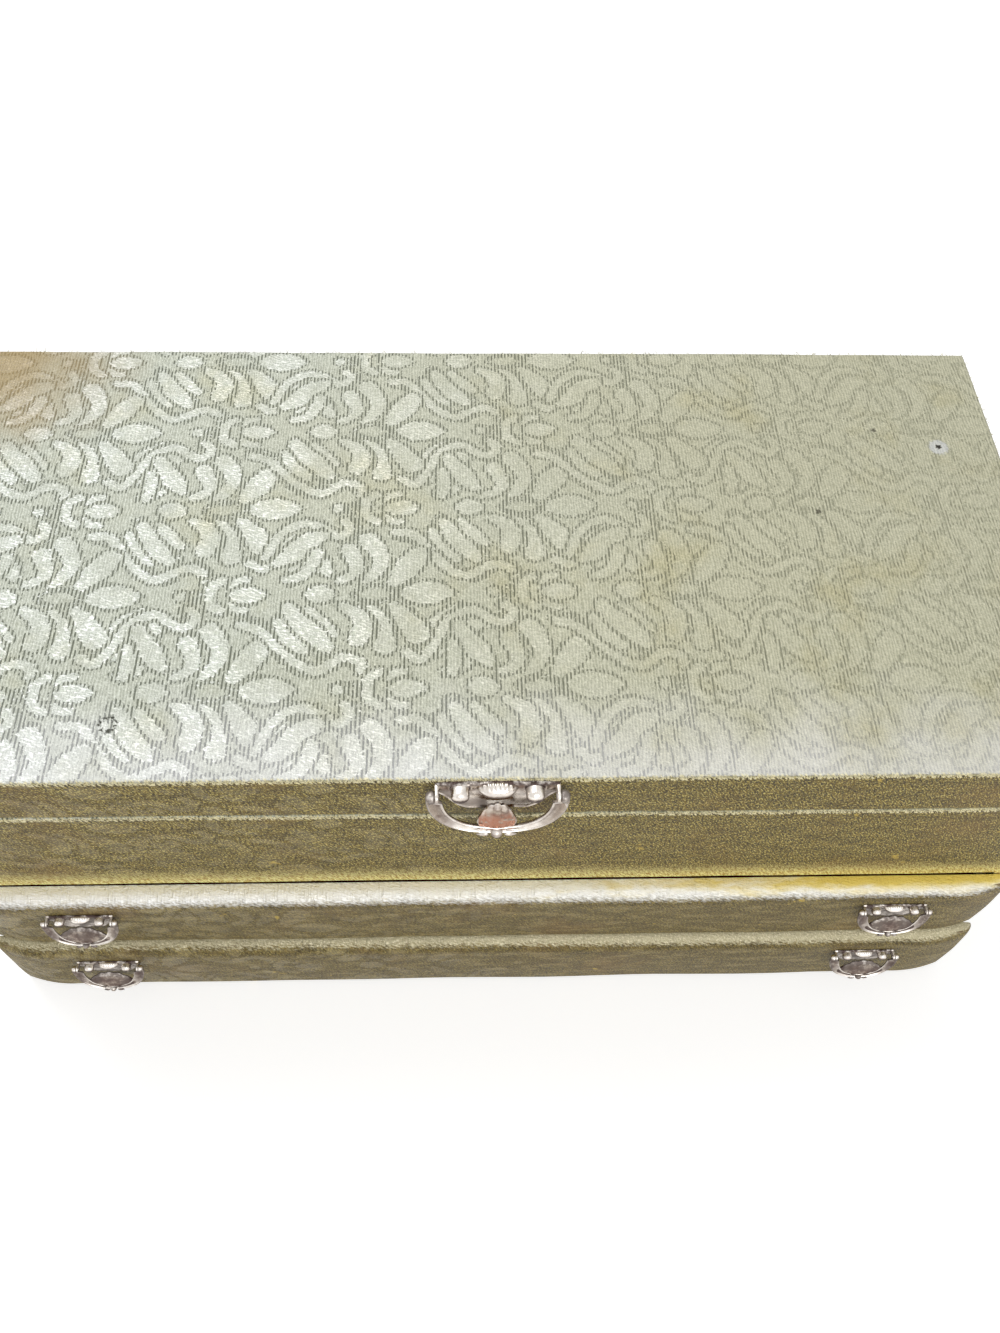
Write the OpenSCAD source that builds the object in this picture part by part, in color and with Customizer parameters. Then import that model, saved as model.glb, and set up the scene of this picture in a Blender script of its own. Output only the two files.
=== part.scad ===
// Brocade jewellery box: a flip-top lid over a shallow tray, with two full-width drawers under it.
// Millimetres. Origin under the middle of the case, +Z up, the front faces -Y.

/* [Case] */
// Width of the case, the lid and the drawer fronts
case_w = 300; // [220:1:400]
// Depth of the case and the lid, without the drawer fronts
case_d = 148; // [125:1:220]
// Height of the lid
lid_h = 19.2; // [19:0.1:30]
// Height of the tray part between the lid and the drawers
tray_h = 42.2; // [41:0.2:70]
// Chipboard of the walls and of the lid
board_t = 4; // [3:0.1:5]
// Chipboard of the bottom, the drawer shelf and the tray deck
shelf_t = 3; // [2:0.1:4]
// Brocade with its backing paper
cover_t = 0.8; // [0.5:0.1:1.2]
// Paper under the base
base_paper_t = 0.6; // [0.3:0.1:1]
// Open seam between the tray and the lid
seam_gap = 0.3; // [0.2:0.05:0.6]
// Velvet on the walls of the tray and the lid
wall_lining_t = 0.8; // [0.5:0.1:1.2]
// Velvet pad on the tray deck
tray_pad_t = 1.6; // [1:0.1:2.2]
// Velvet panel under the lid board
lid_lining_t = 1.2; // [0.8:0.1:1.6]

/* [Drawer fronts] */
// Height of a drawer front
front_h = 31; // [29:0.5:50]
// Board behind the padding
front_board_t = 3; // [2.5:0.1:4]
// Padding and brocade before the board
front_pad_t = 3; // [2.5:0.1:4]
// Distance of the board's ends from the front's ends
front_board_inset = 3; // [2:0.1:5]
// Gap between the two fronts
front_gap = 0.5; // [0.3:0.1:1]
// Gap between the upper front and the tray wall above it
tray_gap = 0.8; // [0.5:0.1:1.5]
// Height of the lower front's edge above the table
front_lift = 0.8; // [0.6:0.1:1.5]
// Gap between the case and a closed front
front_back_gap = 0.3; // [0.2:0.05:0.6]
// Rounding along the top edge of a front
front_top_r = 4.5; // [2:0.5:5]
// Rounding along the bottom edge of a front
front_bottom_r = 2.5; // [1:0.5:4]
// Length over which a front's ends curve back
front_end_w = 17; // [8:1:25]
// How far a front's ends curve back
front_end_d = 3.5; // [1:0.5:3.5]
// How far the lower drawer stands open
lower_ajar = 3; // [0:0.5:6]

/* [Drawer boxes] */
// Gap between the case's back and a closed drawer box
drawer_back_gap = 3.5; // [2:0.5:20]
// Height of the drawer sides
drawer_side_h = 25; // [18:0.5:26]
// Board of the drawer sides and back
drawer_board_t = 3; // [2:0.1:4]
// Board of the drawer floor
drawer_floor_t = 2.4; // [1.5:0.1:3]
// Side clearance of a drawer in the case
drawer_gap = 0.8; // [0.4:0.1:1.5]
// Running gap under a drawer
drawer_run = 0.3; // [0.2:0.05:0.5]
// Velvet inside a drawer
drawer_lining_t = 0.8; // [0.5:0.1:1.2]
// How far the velvet stops below the drawer sides
drawer_lining_drop = 1; // [0.5:0.1:2]

/* [Pulls] */
// Overall width of the lid pull's bail
pull_w = 34.7; // [30:0.1:40]
// Drop of the lid pull's bail below its pivot
pull_drop = 17.2; // [15:0.1:20]
// Width of the bail at its sides
bail_side_w = 3.4; // [2.8:0.1:4]
// Width of the bail along its bottom
bail_bottom_w = 2.4; // [2:0.1:3]
// Thickness of the bail
bail_t = 1.5; // [1.2:0.1:1.8]
// Lean of the hanging lid bail away from the lid
lid_bail_lean = 5; // [3:0.5:8]
// Lean of the hanging drawer bails away from the padded fronts
drawer_bail_lean = 17; // [10:0.5:20]
// Radius of the bead under the bail
bead_r = 1.5; // [1.2:0.1:1.8]
// Height of the leaf inside the bail
leaf_h = 4.9; // [4:0.1:5.5]
// Length of the bail's slim necks below the pivot
bail_neck = 4.2; // [4:0.1:5]
// Gap between an ear and the lug beside it
ear_gap = 0.2; // [0.1:0.05:0.4]
// Radius of the bail's lugs
lug_r = 1.6; // [1.4:0.05:1.8]
// Radius of the bail's pivot pins
bail_pin_r = 0.75; // [0.6:0.05:0.9]
// Clearance round a pivot pin
pin_fit = 0.05; // [0.02:0.01:0.09]
// Stand-off of the bail's pivot from the surface
bail_pivot_out = 3; // [2.6:0.1:4]
// Distance of an ear's middle from the bail's outer side
ear_inset = 2.75; // [2.4:0.05:3.4]
// Thickness of an ear
ear_t = 0.9; // [0.7:0.1:1.1]
// Sheet of the pull plate
plate_t = 0.6; // [0.4:0.1:0.9]
// Height of the plate above the pivot
plate_rise = 2.4; // [1.9:0.1:2.8]
// Depth of the plate below the pivot, at the posts
plate_fall = 7; // [5:0.1:8]
// Distance between the two domed posts
post_span = 18; // [16:0.1:19]
// Radius of a post
post_r = 2.25; // [1.8:0.05:2.4]
// Length of a post
post_len = 3.4; // [2.5:0.1:4]
// Width of the shell boss between the posts
boss_w = 9.6; // [8:0.1:11]
// Radius of the shell boss
boss_r = 2.1; // [1.5:0.1:2.2]
// Radius of the nail behind a post
nail_r = 0.8; // [0.6:0.05:1]
// Clearance round a nail or a screw
nail_fit = 0.05; // [0.02:0.01:0.1]
// Length of the nails in the lid
lid_nail_len = 6; // [4:0.5:10]
// How far the nails of a drawer pull stop short of the board's back
drawer_nail_short = 0.5; // [0.2:0.1:1]
// Size of the drawer pulls against the lid pull
drawer_pull_k = 0.62; // [0.58:0.01:0.7]
// Depth of the lid pull's pivot below the top of the lid
lid_pull_down = 3.2; // [2.9:0.1:3.5]
// Height of a drawer pull's pivot above the bottom of the front
drawer_pull_up = 22.5; // [18:0.5:24]
// Distance of a drawer pull's middle from the end of the front
drawer_pull_end = 32.7; // [25:0.1:70]

/* [Hinges] */
// Distance of a hinge's middle from the end of the case
hinge_end = 55; // [45:1:80]
// Width of a hinge
hinge_w = 26; // [22:0.5:32]
// Height of a hinge leaf
leaf_len = 9; // [8:0.5:10]
// Sheet of the hinge leaves
leaf_t = 0.9; // [0.7:0.1:1.1]
// Outer radius of the knuckle
knuckle_r = 1.7; // [1.5:0.05:2]
// Radius of the hinge pin
hinge_pin_r = 0.8; // [0.6:0.05:0.9]
// Clearance of the pin in its knuckles
hinge_fit = 0.05; // [0.02:0.01:0.09]
// Gap between the knuckles
knuckle_gap = 0.2; // [0.1:0.05:0.4]
// Gap between the knuckle and the back of the case
knuckle_off = 0.1; // [0.05:0.05:0.3]
// Distance between the two screws of a leaf
screw_span = 17; // [14:0.5:18]
// Shank radius of the hinge screws
screw_r = 0.9; // [0.7:0.05:1]
// Head radius of the hinge screws
screw_head_r = 1.8; // [1.6:0.05:2]
// Length of the hinge screws
screw_len = 4.6; // [3.5:0.1:5]
// Opening angle of the lid
lid_open = 95; // [80:1:98]

/* [Stay] */
// Distance of the stay's pivot before the hinge axis
stay_back = 22; // [21:0.5:24]
// Height of the stay's pivot above the hinge axis
stay_rise = 9.5; // [8.5:0.1:9.8]
// Depth of the stay's stud below the hinge axis
stay_fall = 4.8; // [4.4:0.1:5.4]
// Sheet of the stay arm
stay_t = 1; // [0.8:0.1:1.4]
// Radius of the arm's ends
stay_end_r = 2.6; // [2.4:0.1:3]
// Radius of the stay's pivot and stud
stay_pin_r = 1.2; // [1:0.05:1.4]
// Clearance of the arm on its pivot
stay_fit = 0.05; // [0.02:0.01:0.09]
// Side clearance of the stud in the arm's slot
slot_fit = 0.15; // [0.1:0.05:0.3]
// Radius of the discs on the wall and the lid
stay_disc_r = 3; // [2.8:0.1:3.4]
// Thickness of the discs and of the heads
stay_disc_t = 0.8; // [0.6:0.1:1]
// Gap on each side of the arm
stay_gap = 0.3; // [0.2:0.05:0.5]
// Radius of the heads
stay_head_r = 2; // [1.8:0.1:2.4]

/* [Mirror] */
// Width of the mirror
mirror_w = 240; // [150:1:250]
// Depth of the mirror
mirror_d = 96; // [60:1:100]
// Thickness of the mirror glass
mirror_t = 2; // [1.5:0.1:2.5]
// Width of the braid round the mirror
braid_w = 5; // [3:0.5:7]
// How far the braid overlaps the glass
braid_lip = 1.2; // [0.8:0.1:2]
// Thickness of the braid over the glass
braid_t = 1.2; // [0.8:0.1:1.4]
// Clearance between the glass and the braid
glass_fit = 0.1; // [0.05:0.05:0.3]

/* [Hidden] */
$fn = 48;
eps = 0.01;
ARC_STEPS = 8;
front_t = front_board_t + front_pad_t;
ear_span = pull_w - 2 * ear_inset;
drawer_pitch = front_h + front_gap;
floor_z = base_paper_t + shelf_t;
shelf_top_z = floor_z + drawer_pitch;
tray_z = front_lift + 2 * front_h + front_gap + tray_gap;
seam_z = tray_z + tray_h;
lid_z = seam_z + seam_gap;
top_z = lid_z + lid_h;
lid_board_z = top_z - cover_t - board_t;
board_w = case_w - 2 * cover_t;
board_d = case_d - 2 * cover_t;
inner_w = board_w - 2 * board_t;
inner_d = board_d - 2 * board_t;
drawer_w = inner_w - 2 * drawer_gap;
front_y = -case_d / 2 - front_back_gap;
drawer_d = inner_d / 2 - drawer_back_gap - front_y;
drawer_pull_x = case_w / 2 - drawer_pull_end;
hinge_x = case_w / 2 - hinge_end;
hinge_y = case_d / 2 + knuckle_off + knuckle_r;
hinge_z = seam_z + seam_gap / 2;
knuckle_len = (hinge_w - 2 * knuckle_gap) / 3;
drawer_nail_len = front_t - drawer_nail_short;
// The stay's pivot and stud lie on one circle round the hinge axis, so the arm turns at half the lid's angle.
stay_r = sqrt(stay_back * stay_back + stay_rise * stay_rise);
stay_pivot = [hinge_y - stay_back, hinge_z + stay_rise];
stay_stud = [hinge_y - sqrt(stay_r * stay_r - stay_fall * stay_fall), hinge_z - stay_fall];
stay_closed_angle = atan2(stay_rise, stay_back) + asin(stay_fall / stay_r);
stay_closed_len = 2 * stay_r * sin(stay_closed_angle / 2);
stay_open_len = 2 * stay_r * sin((stay_closed_angle + lid_open) / 2);
stay_tilt = asin((stay_stud[0] - stay_pivot[0]) / stay_closed_len);
stay_wall_x = -inner_w / 2 + wall_lining_t;

BROCADE = "darkkhaki";
BOARD = "burlywood";
VELVET = "maroon";
PAPER = "saddlebrown";
PULL_METAL = "rosybrown";
BRASS = "goldenrod";

// ---- shared shapes ----

// A block centred on X, from its lowest Y and Z.
module slab(size, y, z) {
    translate([-size[0] / 2, y, z])
        cube(size);
}

// A block centred on X and Y.
module sheet(w, d, h, z) {
    slab([w, d, h], -d / 2, z);
}

// A rod along Y from y, pointing to the back.
module rod_y(r, len, y = 0) {
    translate([0, y, 0])
        rotate([-90, 0, 0])
            cylinder(r = r, h = len);
}

// A rod along X from x.
module rod_x(r, len, x = 0) {
    translate([x, 0, 0])
        rotate([0, 90, 0])
            cylinder(r = r, h = len);
}

// An outline in Y and Z, as thick as h along X from x.
module across_x(h, x = 0) {
    translate([x, 0, 0])
        rotate([90, 0, 90])
            linear_extrude(h)
                children();
}

// An outline in X and Z, standing t out of the front.
module standing_out(t, y = 0) {
    translate([0, y, 0])
        rotate([90, 0, 0])
            linear_extrude(t)
                children();
}

function arc(centre, r, from, to) =
    [for (i = [0:ARC_STEPS])
        let (a = from + (to - from) * i / ARC_STEPS)
            [centre[0] + r * cos(a), centre[1] + r * sin(a)]];

// ---- case ----

module case_side(side) {
    color(BOARD)
        translate([side * (board_w - board_t) / 2, 0, 0])
            difference() {
                sheet(board_t, board_d, seam_z - cover_t - base_paper_t, base_paper_t);
                if (side < 0)
                    stay_nail_hole(stay_stud);
            }
}

module case_side_left() { case_side(-1); }

module case_side_right() { case_side(1); }

module case_back() {
    color(BOARD)
        difference() {
            slab([inner_w, board_t, seam_z - cover_t - base_paper_t], inner_d / 2, base_paper_t);
            at_leaf_screws(-1) screw_hole();
        }
}

module case_bottom() {
    color(BOARD)
        slab([inner_w, board_d - board_t, shelf_t], -board_d / 2, base_paper_t);
}

module drawer_shelf() {
    color(BOARD)
        slab([inner_w, board_d - board_t, shelf_t], -board_d / 2, shelf_top_z - shelf_t);
}

module tray_deck() {
    color(BOARD)
        sheet(inner_w, inner_d, shelf_t, tray_z);
}

module tray_front_wall() {
    color(BOARD)
        slab([inner_w, board_t, tray_h - 2 * cover_t], -board_d / 2, tray_z + cover_t);
}

// A skin of the wall's outside, closed by a fold over the edges at fold_z.
module edge_skin(z, h, fold_z) {
    difference() {
        sheet(case_w, case_d, h, z);
        sheet(board_w, board_d, h + 2 * eps, z - eps);
    }
    difference() {
        sheet(case_w, case_d, cover_t, fold_z);
        sheet(inner_w, inner_d, cover_t + 2 * eps, fold_z - eps);
    }
}

module case_cover() {
    color(BROCADE)
        difference() {
            union() {
                edge_skin(base_paper_t, seam_z - base_paper_t, seam_z - cover_t);
                slab([inner_w, board_t + cover_t, cover_t], -case_d / 2, tray_z);
            }
            drawer_window(floor_z, shelf_top_z - shelf_t);
            drawer_window(shelf_top_z, tray_z);
            at_leaf_screws(-1) screw_hole();
        }
}

module drawer_window(from_z, to_z) {
    slab([inner_w, cover_t + 2 * eps, to_z - from_z], -case_d / 2 - eps, from_z);
}

module base_paper() {
    color(PAPER)
        sheet(case_w, case_d, base_paper_t, 0);
}

module tray_wall_lining() {
    h = tray_h - shelf_t - cover_t;
    z = tray_z + shelf_t;
    color(VELVET)
        difference() {
            sheet(inner_w, inner_d, h, z);
            sheet(inner_w - 2 * wall_lining_t, inner_d - 2 * wall_lining_t, h + 2 * eps, z - eps);
            translate([0, stay_stud[0], stay_stud[1]])
                rod_x(nail_r + nail_fit, wall_lining_t + 2 * eps, -inner_w / 2 - eps);
        }
}

module tray_pad() {
    w = inner_w - 2 * wall_lining_t;
    d = inner_d - 2 * wall_lining_t;
    color(VELVET)
        sheet(w, d, tray_pad_t, tray_z + shelf_t);
}

// ---- hinges ----

module at_hinge(side) {
    translate([side * hinge_x, hinge_y, hinge_z])
        children();
}

// dir is 1 for the lid's leaves and -1 for the case's.
module at_leaf_screws(dir) {
    leaf_from = knuckle_r + knuckle_gap;
    for (side = [-1, 1])
        for (end = [-1, 1])
            translate([side * hinge_x + end * screw_span / 2, case_d / 2,
                hinge_z + dir * (leaf_from + leaf_len) / 2])
                children();
}

module screw_hole() {
    rod_y(screw_r + nail_fit, screw_len + leaf_t, -screw_len - eps);
    translate([0, leaf_t - screw_head_r + screw_r, 0])
        rotate([-90, 0, 0])
            cylinder(r1 = screw_r + nail_fit, r2 = screw_head_r + nail_fit,
                h = screw_head_r - screw_r + eps);
}

module screw() {
    head_h = screw_head_r - screw_r;
    translate([0, leaf_t, 0])
        rotate([90, 0, 0])
            rotate_extrude()
                polygon([[0, 0], [screw_head_r, 0], [screw_r, head_h], [screw_r, screw_len],
                    [screw_r / 3, leaf_t + screw_len - 2 * eps], [0, leaf_t + screw_len - 2 * eps]]);
}

module knuckle(x, bore_r) {
    difference() {
        rod_x(knuckle_r, knuckle_len, x);
        rod_x(bore_r, knuckle_len + 2 * eps, x - eps);
    }
}

// The knuckle places of a leaf: the lid's is the middle one, the case's are the outer two.
function knuckle_places(dir) = dir > 0 ? [0] : [-1, 1];

module hinge_leaf(side, dir) {
    at_y = case_d / 2 - hinge_y;
    from = knuckle_r + knuckle_gap;
    bore_r = hinge_pin_r + hinge_fit;
    color(BRASS)
        difference() {
            union() {
                at_hinge(side) {
                    translate([-hinge_w / 2, at_y, dir > 0 ? from : -leaf_len])
                        cube([hinge_w, leaf_t, leaf_len - from]);
                    for (place = knuckle_places(dir)) {
                        x = place * (knuckle_len + knuckle_gap) - knuckle_len / 2;
                        knuckle(x, bore_r);
                        difference() {
                            translate([x, at_y, dir > 0 ? 0 : -from - eps])
                                cube([knuckle_len, leaf_t, from + eps]);
                            rod_x(bore_r, knuckle_len + 2 * eps, x - eps);
                        }
                    }
                }
            }
            at_leaf_screws(dir) screw_hole();
        }
}

module hinge_case_leaf_left() { hinge_leaf(-1, -1); }

module hinge_case_leaf_right() { hinge_leaf(1, -1); }

module hinge_lid_leaf_left() { hinge_leaf(-1, 1); }

module hinge_lid_leaf_right() { hinge_leaf(1, 1); }

module hinge_pin(side) {
    color(BRASS)
        at_hinge(side)
            rod_x(hinge_pin_r, hinge_w, -hinge_w / 2);
}

module hinge_pin_left() { hinge_pin(-1); }

module hinge_pin_right() { hinge_pin(1); }

module hinge_case_screws() {
    color(BRASS)
        at_leaf_screws(-1) screw();
}

module hinge_lid_screws() {
    color(BRASS)
        at_leaf_screws(1) screw();
}

// ---- stay ----

// A disc on the wall's velvet with a nail behind it, a pivot for the arm and a head.
module stay_pin(place) {
    pin_len = stay_t + 2 * stay_gap;
    translate([stay_wall_x, place[0], place[1]]) {
        rod_x(nail_r, wall_lining_t + board_t, -wall_lining_t - board_t);
        rod_x(stay_disc_r, stay_disc_t);
        rod_x(stay_pin_r, pin_len, stay_disc_t);
        rod_x(stay_head_r, stay_disc_t, stay_disc_t + pin_len);
    }
}

module stay_nail_hole(place) {
    translate([0, place[0], place[1]])
        rod_x(nail_r + nail_fit, board_t + 2 * eps, -board_t / 2 - eps);
}

module stay_stud() {
    color(BRASS)
        stay_pin(stay_stud);
}

module stay_bracket() {
    color(BRASS)
        stay_pin(stay_pivot);
}

module stay_arm() {
    slot_r = stay_pin_r + slot_fit;
    slot_from = stay_closed_len - slot_fit;
    slot_to = stay_open_len + slot_fit;
    color(BRASS)
        translate([stay_wall_x + stay_disc_t + stay_gap, stay_pivot[0], stay_pivot[1]])
            rotate([stay_tilt, 0, 0])
                across_x(stay_t)
                    difference() {
                        union() {
                            circle(r = stay_end_r);
                            translate([-stay_end_r, -slot_to])
                                square([2 * stay_end_r, slot_to]);
                            translate([0, -slot_to])
                                circle(r = stay_end_r);
                        }
                        circle(r = stay_pin_r + stay_fit);
                        translate([0, -slot_from])
                            circle(r = slot_r);
                        translate([-slot_r, -slot_to])
                            square([2 * slot_r, slot_to - slot_from]);
                        translate([0, -slot_to])
                            circle(r = slot_r);
                    }
}

// ---- lid ----

module lid_panel() {
    color(BOARD)
        difference() {
            sheet(board_w, board_d, board_t, lid_board_z);
            at_lid_pull() nail_holes(1, lid_nail_len);
        }
}

module lid_rim_end(side) {
    color(BOARD)
        translate([side * (board_w - board_t) / 2, 0, 0])
            difference() {
                sheet(board_t, board_d, lid_board_z - lid_z - cover_t, lid_z + cover_t);
                if (side < 0)
                    stay_nail_hole(stay_pivot);
            }
}

module lid_rim_left() { lid_rim_end(-1); }

module lid_rim_right() { lid_rim_end(1); }

module lid_rim_front() {
    color(BOARD)
        slab([inner_w, board_t, lid_board_z - lid_z - cover_t], -board_d / 2, lid_z + cover_t);
}

module lid_rim_back() {
    color(BOARD)
        difference() {
            slab([inner_w, board_t, lid_board_z - lid_z - cover_t], inner_d / 2, lid_z + cover_t);
            at_leaf_screws(1) screw_hole();
        }
}

module lid_cover() {
    color(BROCADE)
        difference() {
            union() {
                edge_skin(lid_z, lid_h - cover_t, lid_z);
                sheet(case_w, case_d, cover_t, top_z - cover_t);
            }
            at_leaf_screws(1) screw_hole();
            at_lid_pull() nail_holes(1, lid_nail_len);
        }
}

module lid_lining() {
    z = lid_z + cover_t;
    h = lid_board_z - z;
    color(VELVET)
        difference() {
            sheet(inner_w, inner_d, h, z);
            sheet(inner_w - 2 * wall_lining_t, inner_d - 2 * wall_lining_t,
                h - lid_lining_t + eps, z - eps);
            translate([0, stay_pivot[0], stay_pivot[1]])
                rod_x(nail_r + nail_fit, wall_lining_t + 2 * eps, -inner_w / 2 - eps);
        }
}

module lid_mirror() {
    color("lightgrey")
        sheet(mirror_w, mirror_d, mirror_t, lid_board_z - lid_lining_t - mirror_t);
}

module mirror_braid() {
    bed_w = mirror_w + 2 * glass_fit;
    bed_d = mirror_d + 2 * glass_fit;
    bed_h = mirror_t + glass_fit;
    top = lid_board_z - lid_lining_t;
    h = bed_h + braid_t;
    color(BRASS)
        difference() {
            sheet(bed_w + 2 * braid_w, bed_d + 2 * braid_w, h, top - h);
            sheet(bed_w, bed_d, bed_h + eps, top - bed_h);
            sheet(mirror_w - 2 * braid_lip, mirror_d - 2 * braid_lip, h + 2 * eps, top - h - eps);
        }
}

// ---- pulls: k is 1 on the lid ----

module at_lid_pull() {
    translate([0, -case_d / 2, top_z - lid_pull_down])
        children();
}

module at_drawer_pull(level, side) {
    at_drawer(level)
        translate([side * drawer_pull_x, front_y - front_t, front_lift + drawer_pull_up])
            children();
}

module nail_holes(k, len) {
    for (end = [-1, 1])
        translate([end * post_span * k / 2, 0, 0])
            rod_y(nail_r + nail_fit, len + plate_t + eps, -plate_t - eps);
}

// Half of the plate's outline: an ear, the lobe under a post, and the dip in the middle.
function plate_half(k) =
    let (half = (ear_span + ear_t) / 2, low = -plate_fall)
    [[half, plate_rise * 0.6], [half, -plate_rise],
        [post_span / 2 + post_r, low + 0.6], [post_span / 2 - post_r, low],
        [boss_w / 4, low + 1.4], [0, low - 0.4]] * k;

module pull_plate(k) {
    half = plate_half(k);
    pivot_y = -bail_pivot_out * k;
    ear_out = bail_pivot_out * k - plate_t;
    color(PULL_METAL)
        difference() {
            union() {
                standing_out(plate_t)
                    for (side = [0, 1])
                        mirror([side, 0])
                            polygon(concat([[-eps, plate_rise * k], [post_span * k / 2, plate_rise * k]],
                                half, [[-eps, half[5][1]]]));
                for (side = [-1, 1])
                    translate([side * ear_span * k / 2 - ear_t / 2, 0, 0]) {
                        translate([0, -ear_out - plate_t, -lug_r * k])
                            cube([ear_t, ear_out + plate_t, 2 * lug_r * k]);
                        translate([0, pivot_y, 0])
                            rod_x(lug_r * k, ear_t);
                    }
                boss(k);
            }
            translate([0, pivot_y, 0])
                rod_x(bail_pin_r * k + pin_fit, 2 * ear_span * k, -ear_span * k);
            nail_holes(k, eps);
        }
}

// The shell boss is a spindle that lies on the plate.
module boss(k) {
    r = boss_r * k;
    half = boss_w * k / 2;
    intersection() {
        translate([0, -plate_t, 0])
            rotate([0, 90, 0])
                rotate_extrude()
                    polygon([for (i = [-ARC_STEPS:ARC_STEPS])
                        let (t = i / ARC_STEPS)
                            [r * (1 - t * t), half * t]]);
        slab([4 * half, 2 * r + plate_t, 4 * r], -2 * r - plate_t, -2 * r);
    }
}

module pull_post(k, nail_len) {
    r = post_r * k;
    tip = post_len * k;
    dome = 0.3 * r;
    round_r = (r * r + dome * dome) / (2 * dome);
    translate([0, -plate_t, 0])
        rotate([90, 0, 0])
            rotate_extrude()
                polygon(concat([[0, -nail_len - plate_t], [nail_r, -nail_len - plate_t],
                    [nail_r, 0], [r, 0]],
                    arc([0, tip - round_r], round_r, 90 - asin(r / round_r), 90)));
}

module pull_posts(k, nail_len) {
    color(PULL_METAL)
        for (end = [-1, 1])
            translate([end * post_span * k / 2, 0, 0])
                pull_post(k, nail_len);
}

// One side of a rounded U: w wide and h deep, squarer than an ellipse.
function u_curve(w, h) =
    [for (i = [0:2 * ARC_STEPS])
        let (a = 90 * i / ARC_STEPS)
            [w / 2 * sign(cos(a)) * pow(abs(cos(a)), 0.75), -h * pow(sin(a), 0.85)]];

module pull_bail(k, lean) {
    drop = pull_drop * k;
    inner_drop = drop - bail_bottom_w * k;
    ear_x = (ear_span * k + ear_t) / 2;
    lug_x = ear_x + ear_gap;
    t = bail_t * k;
    color(PULL_METAL)
        translate([0, -bail_pivot_out * k, 0])
            rotate([-lean, 0, 0]) {
                standing_out(t, t / 2) {
                    difference() {
                        polygon(u_curve(pull_w * k, drop));
                        polygon(u_curve((pull_w - 2 * bail_side_w) * k, inner_drop));
                        square([2 * lug_x, 2 * bail_neck * k], center = true);
                    }
                    bail_leaf(leaf_h * k, -inner_drop - bail_bottom_w * k / 2);
                }
                translate([0, -t / 2, -drop + bead_r * k / 2])
                    sphere(r = bead_r * k);
                for (side = [0, 1])
                    mirror([side, 0, 0]) {
                        rod_x(lug_r * k, pull_w * k / 2 - lug_x, lug_x);
                        rod_x(bail_pin_r * k, ear_t + 2 * ear_gap + eps, ear_x - ear_t - ear_gap);
                    }
            }
}

// A pointed leaf that rises h above the band's inner edge, from its root at z.
module bail_leaf(h, z) {
    polygon([[-h, z], [-h * 0.7, z + h * 0.9], [0, z + h * 1.3], [h * 0.7, z + h * 0.9], [h, z]]);
}

module lid_pull_plate() {
    at_lid_pull() pull_plate(1);
}

module lid_pull_posts() {
    at_lid_pull() pull_posts(1, lid_nail_len);
}

module lid_bail() {
    at_lid_pull() pull_bail(1, lid_bail_lean);
}

// ---- drawers: level is 0 for the lower one and 1 for the upper one ----

module at_drawer(level) {
    translate([0, level == 0 ? -lower_ajar : 0, level * drawer_pitch])
        children();
}

module front_board_block() {
    slab([case_w - 2 * front_board_inset, front_board_t, front_h - 2 * cover_t],
        front_y - front_board_t, front_lift + cover_t);
}

module front_board(level) {
    color(BOARD)
        difference() {
            at_drawer(level)
                front_board_block();
            drawer_nail_holes(level);
        }
}

module drawer_nail_holes(level) {
    for (side = [-1, 1])
        at_drawer_pull(level, side) nail_holes(drawer_pull_k, drawer_nail_len);
}

// The front seen from its end: flat behind, rounded along the top and bottom edges.
module front_profile() {
    polygon(concat([[0, front_h], [0, 0]],
        arc([-front_t + front_bottom_r, front_bottom_r], front_bottom_r, 270, 180),
        arc([-front_t + front_top_r, front_h - front_top_r], front_top_r, 180, 90)));
}

// The front seen from above: its ends curve back.
module front_plan() {
    r = (front_end_w * front_end_w + front_end_d * front_end_d) / (2 * front_end_d);
    turn = asin(front_end_w / r);
    polygon(concat([[-case_w / 2, 0]],
        arc([-case_w / 2 + front_end_w, -front_t + r], r, 270 - turn, 270),
        arc([case_w / 2 - front_end_w, -front_t + r], r, 270, 270 + turn),
        [[case_w / 2, 0]]));
}

module front_cover(level) {
    color(BROCADE)
        difference() {
            at_drawer(level)
                translate([0, front_y, front_lift])
                    intersection() {
                        across_x(case_w, -case_w / 2) front_profile();
                        linear_extrude(front_h) front_plan();
                    }
            at_drawer(level)
                front_board_block();
            drawer_nail_holes(level);
        }
}

// The box behind a front, from the back of its board.
module at_box(level) {
    at_drawer(level)
        translate([0, front_y, floor_z + drawer_run])
            children();
}

module drawer_side(level, side) {
    color(PAPER)
        at_box(level)
            translate([side * (drawer_w - drawer_board_t) / 2, 0, 0])
                slab([drawer_board_t, drawer_d, drawer_side_h], 0, 0);
}

module drawer_back(level) {
    color(PAPER)
        at_box(level)
            slab([drawer_w - 2 * drawer_board_t, drawer_board_t, drawer_side_h],
                drawer_d - drawer_board_t, 0);
}

module drawer_floor(level) {
    color(PAPER)
        at_box(level)
            slab([drawer_w - 2 * drawer_board_t, drawer_d - drawer_board_t, drawer_floor_t], 0, 0);
}

module drawer_lining(level) {
    w = drawer_w - 2 * drawer_board_t;
    d = drawer_d - drawer_board_t;
    t = drawer_lining_t;
    h = drawer_side_h - drawer_floor_t - drawer_lining_drop;
    color(VELVET)
        at_box(level)
            difference() {
                slab([w, d, h], 0, drawer_floor_t);
                slab([w - 2 * t, d - 2 * t, h], t, drawer_floor_t + t);
            }
}

module drawer_pull_plate(level, side) {
    at_drawer_pull(level, side) pull_plate(drawer_pull_k);
}

module drawer_pull_posts(level) {
    for (side = [-1, 1])
        at_drawer_pull(level, side) pull_posts(drawer_pull_k, drawer_nail_len);
}

module drawer_bail(level, side) {
    at_drawer_pull(level, side) pull_bail(drawer_pull_k, drawer_bail_lean);
}

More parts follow.
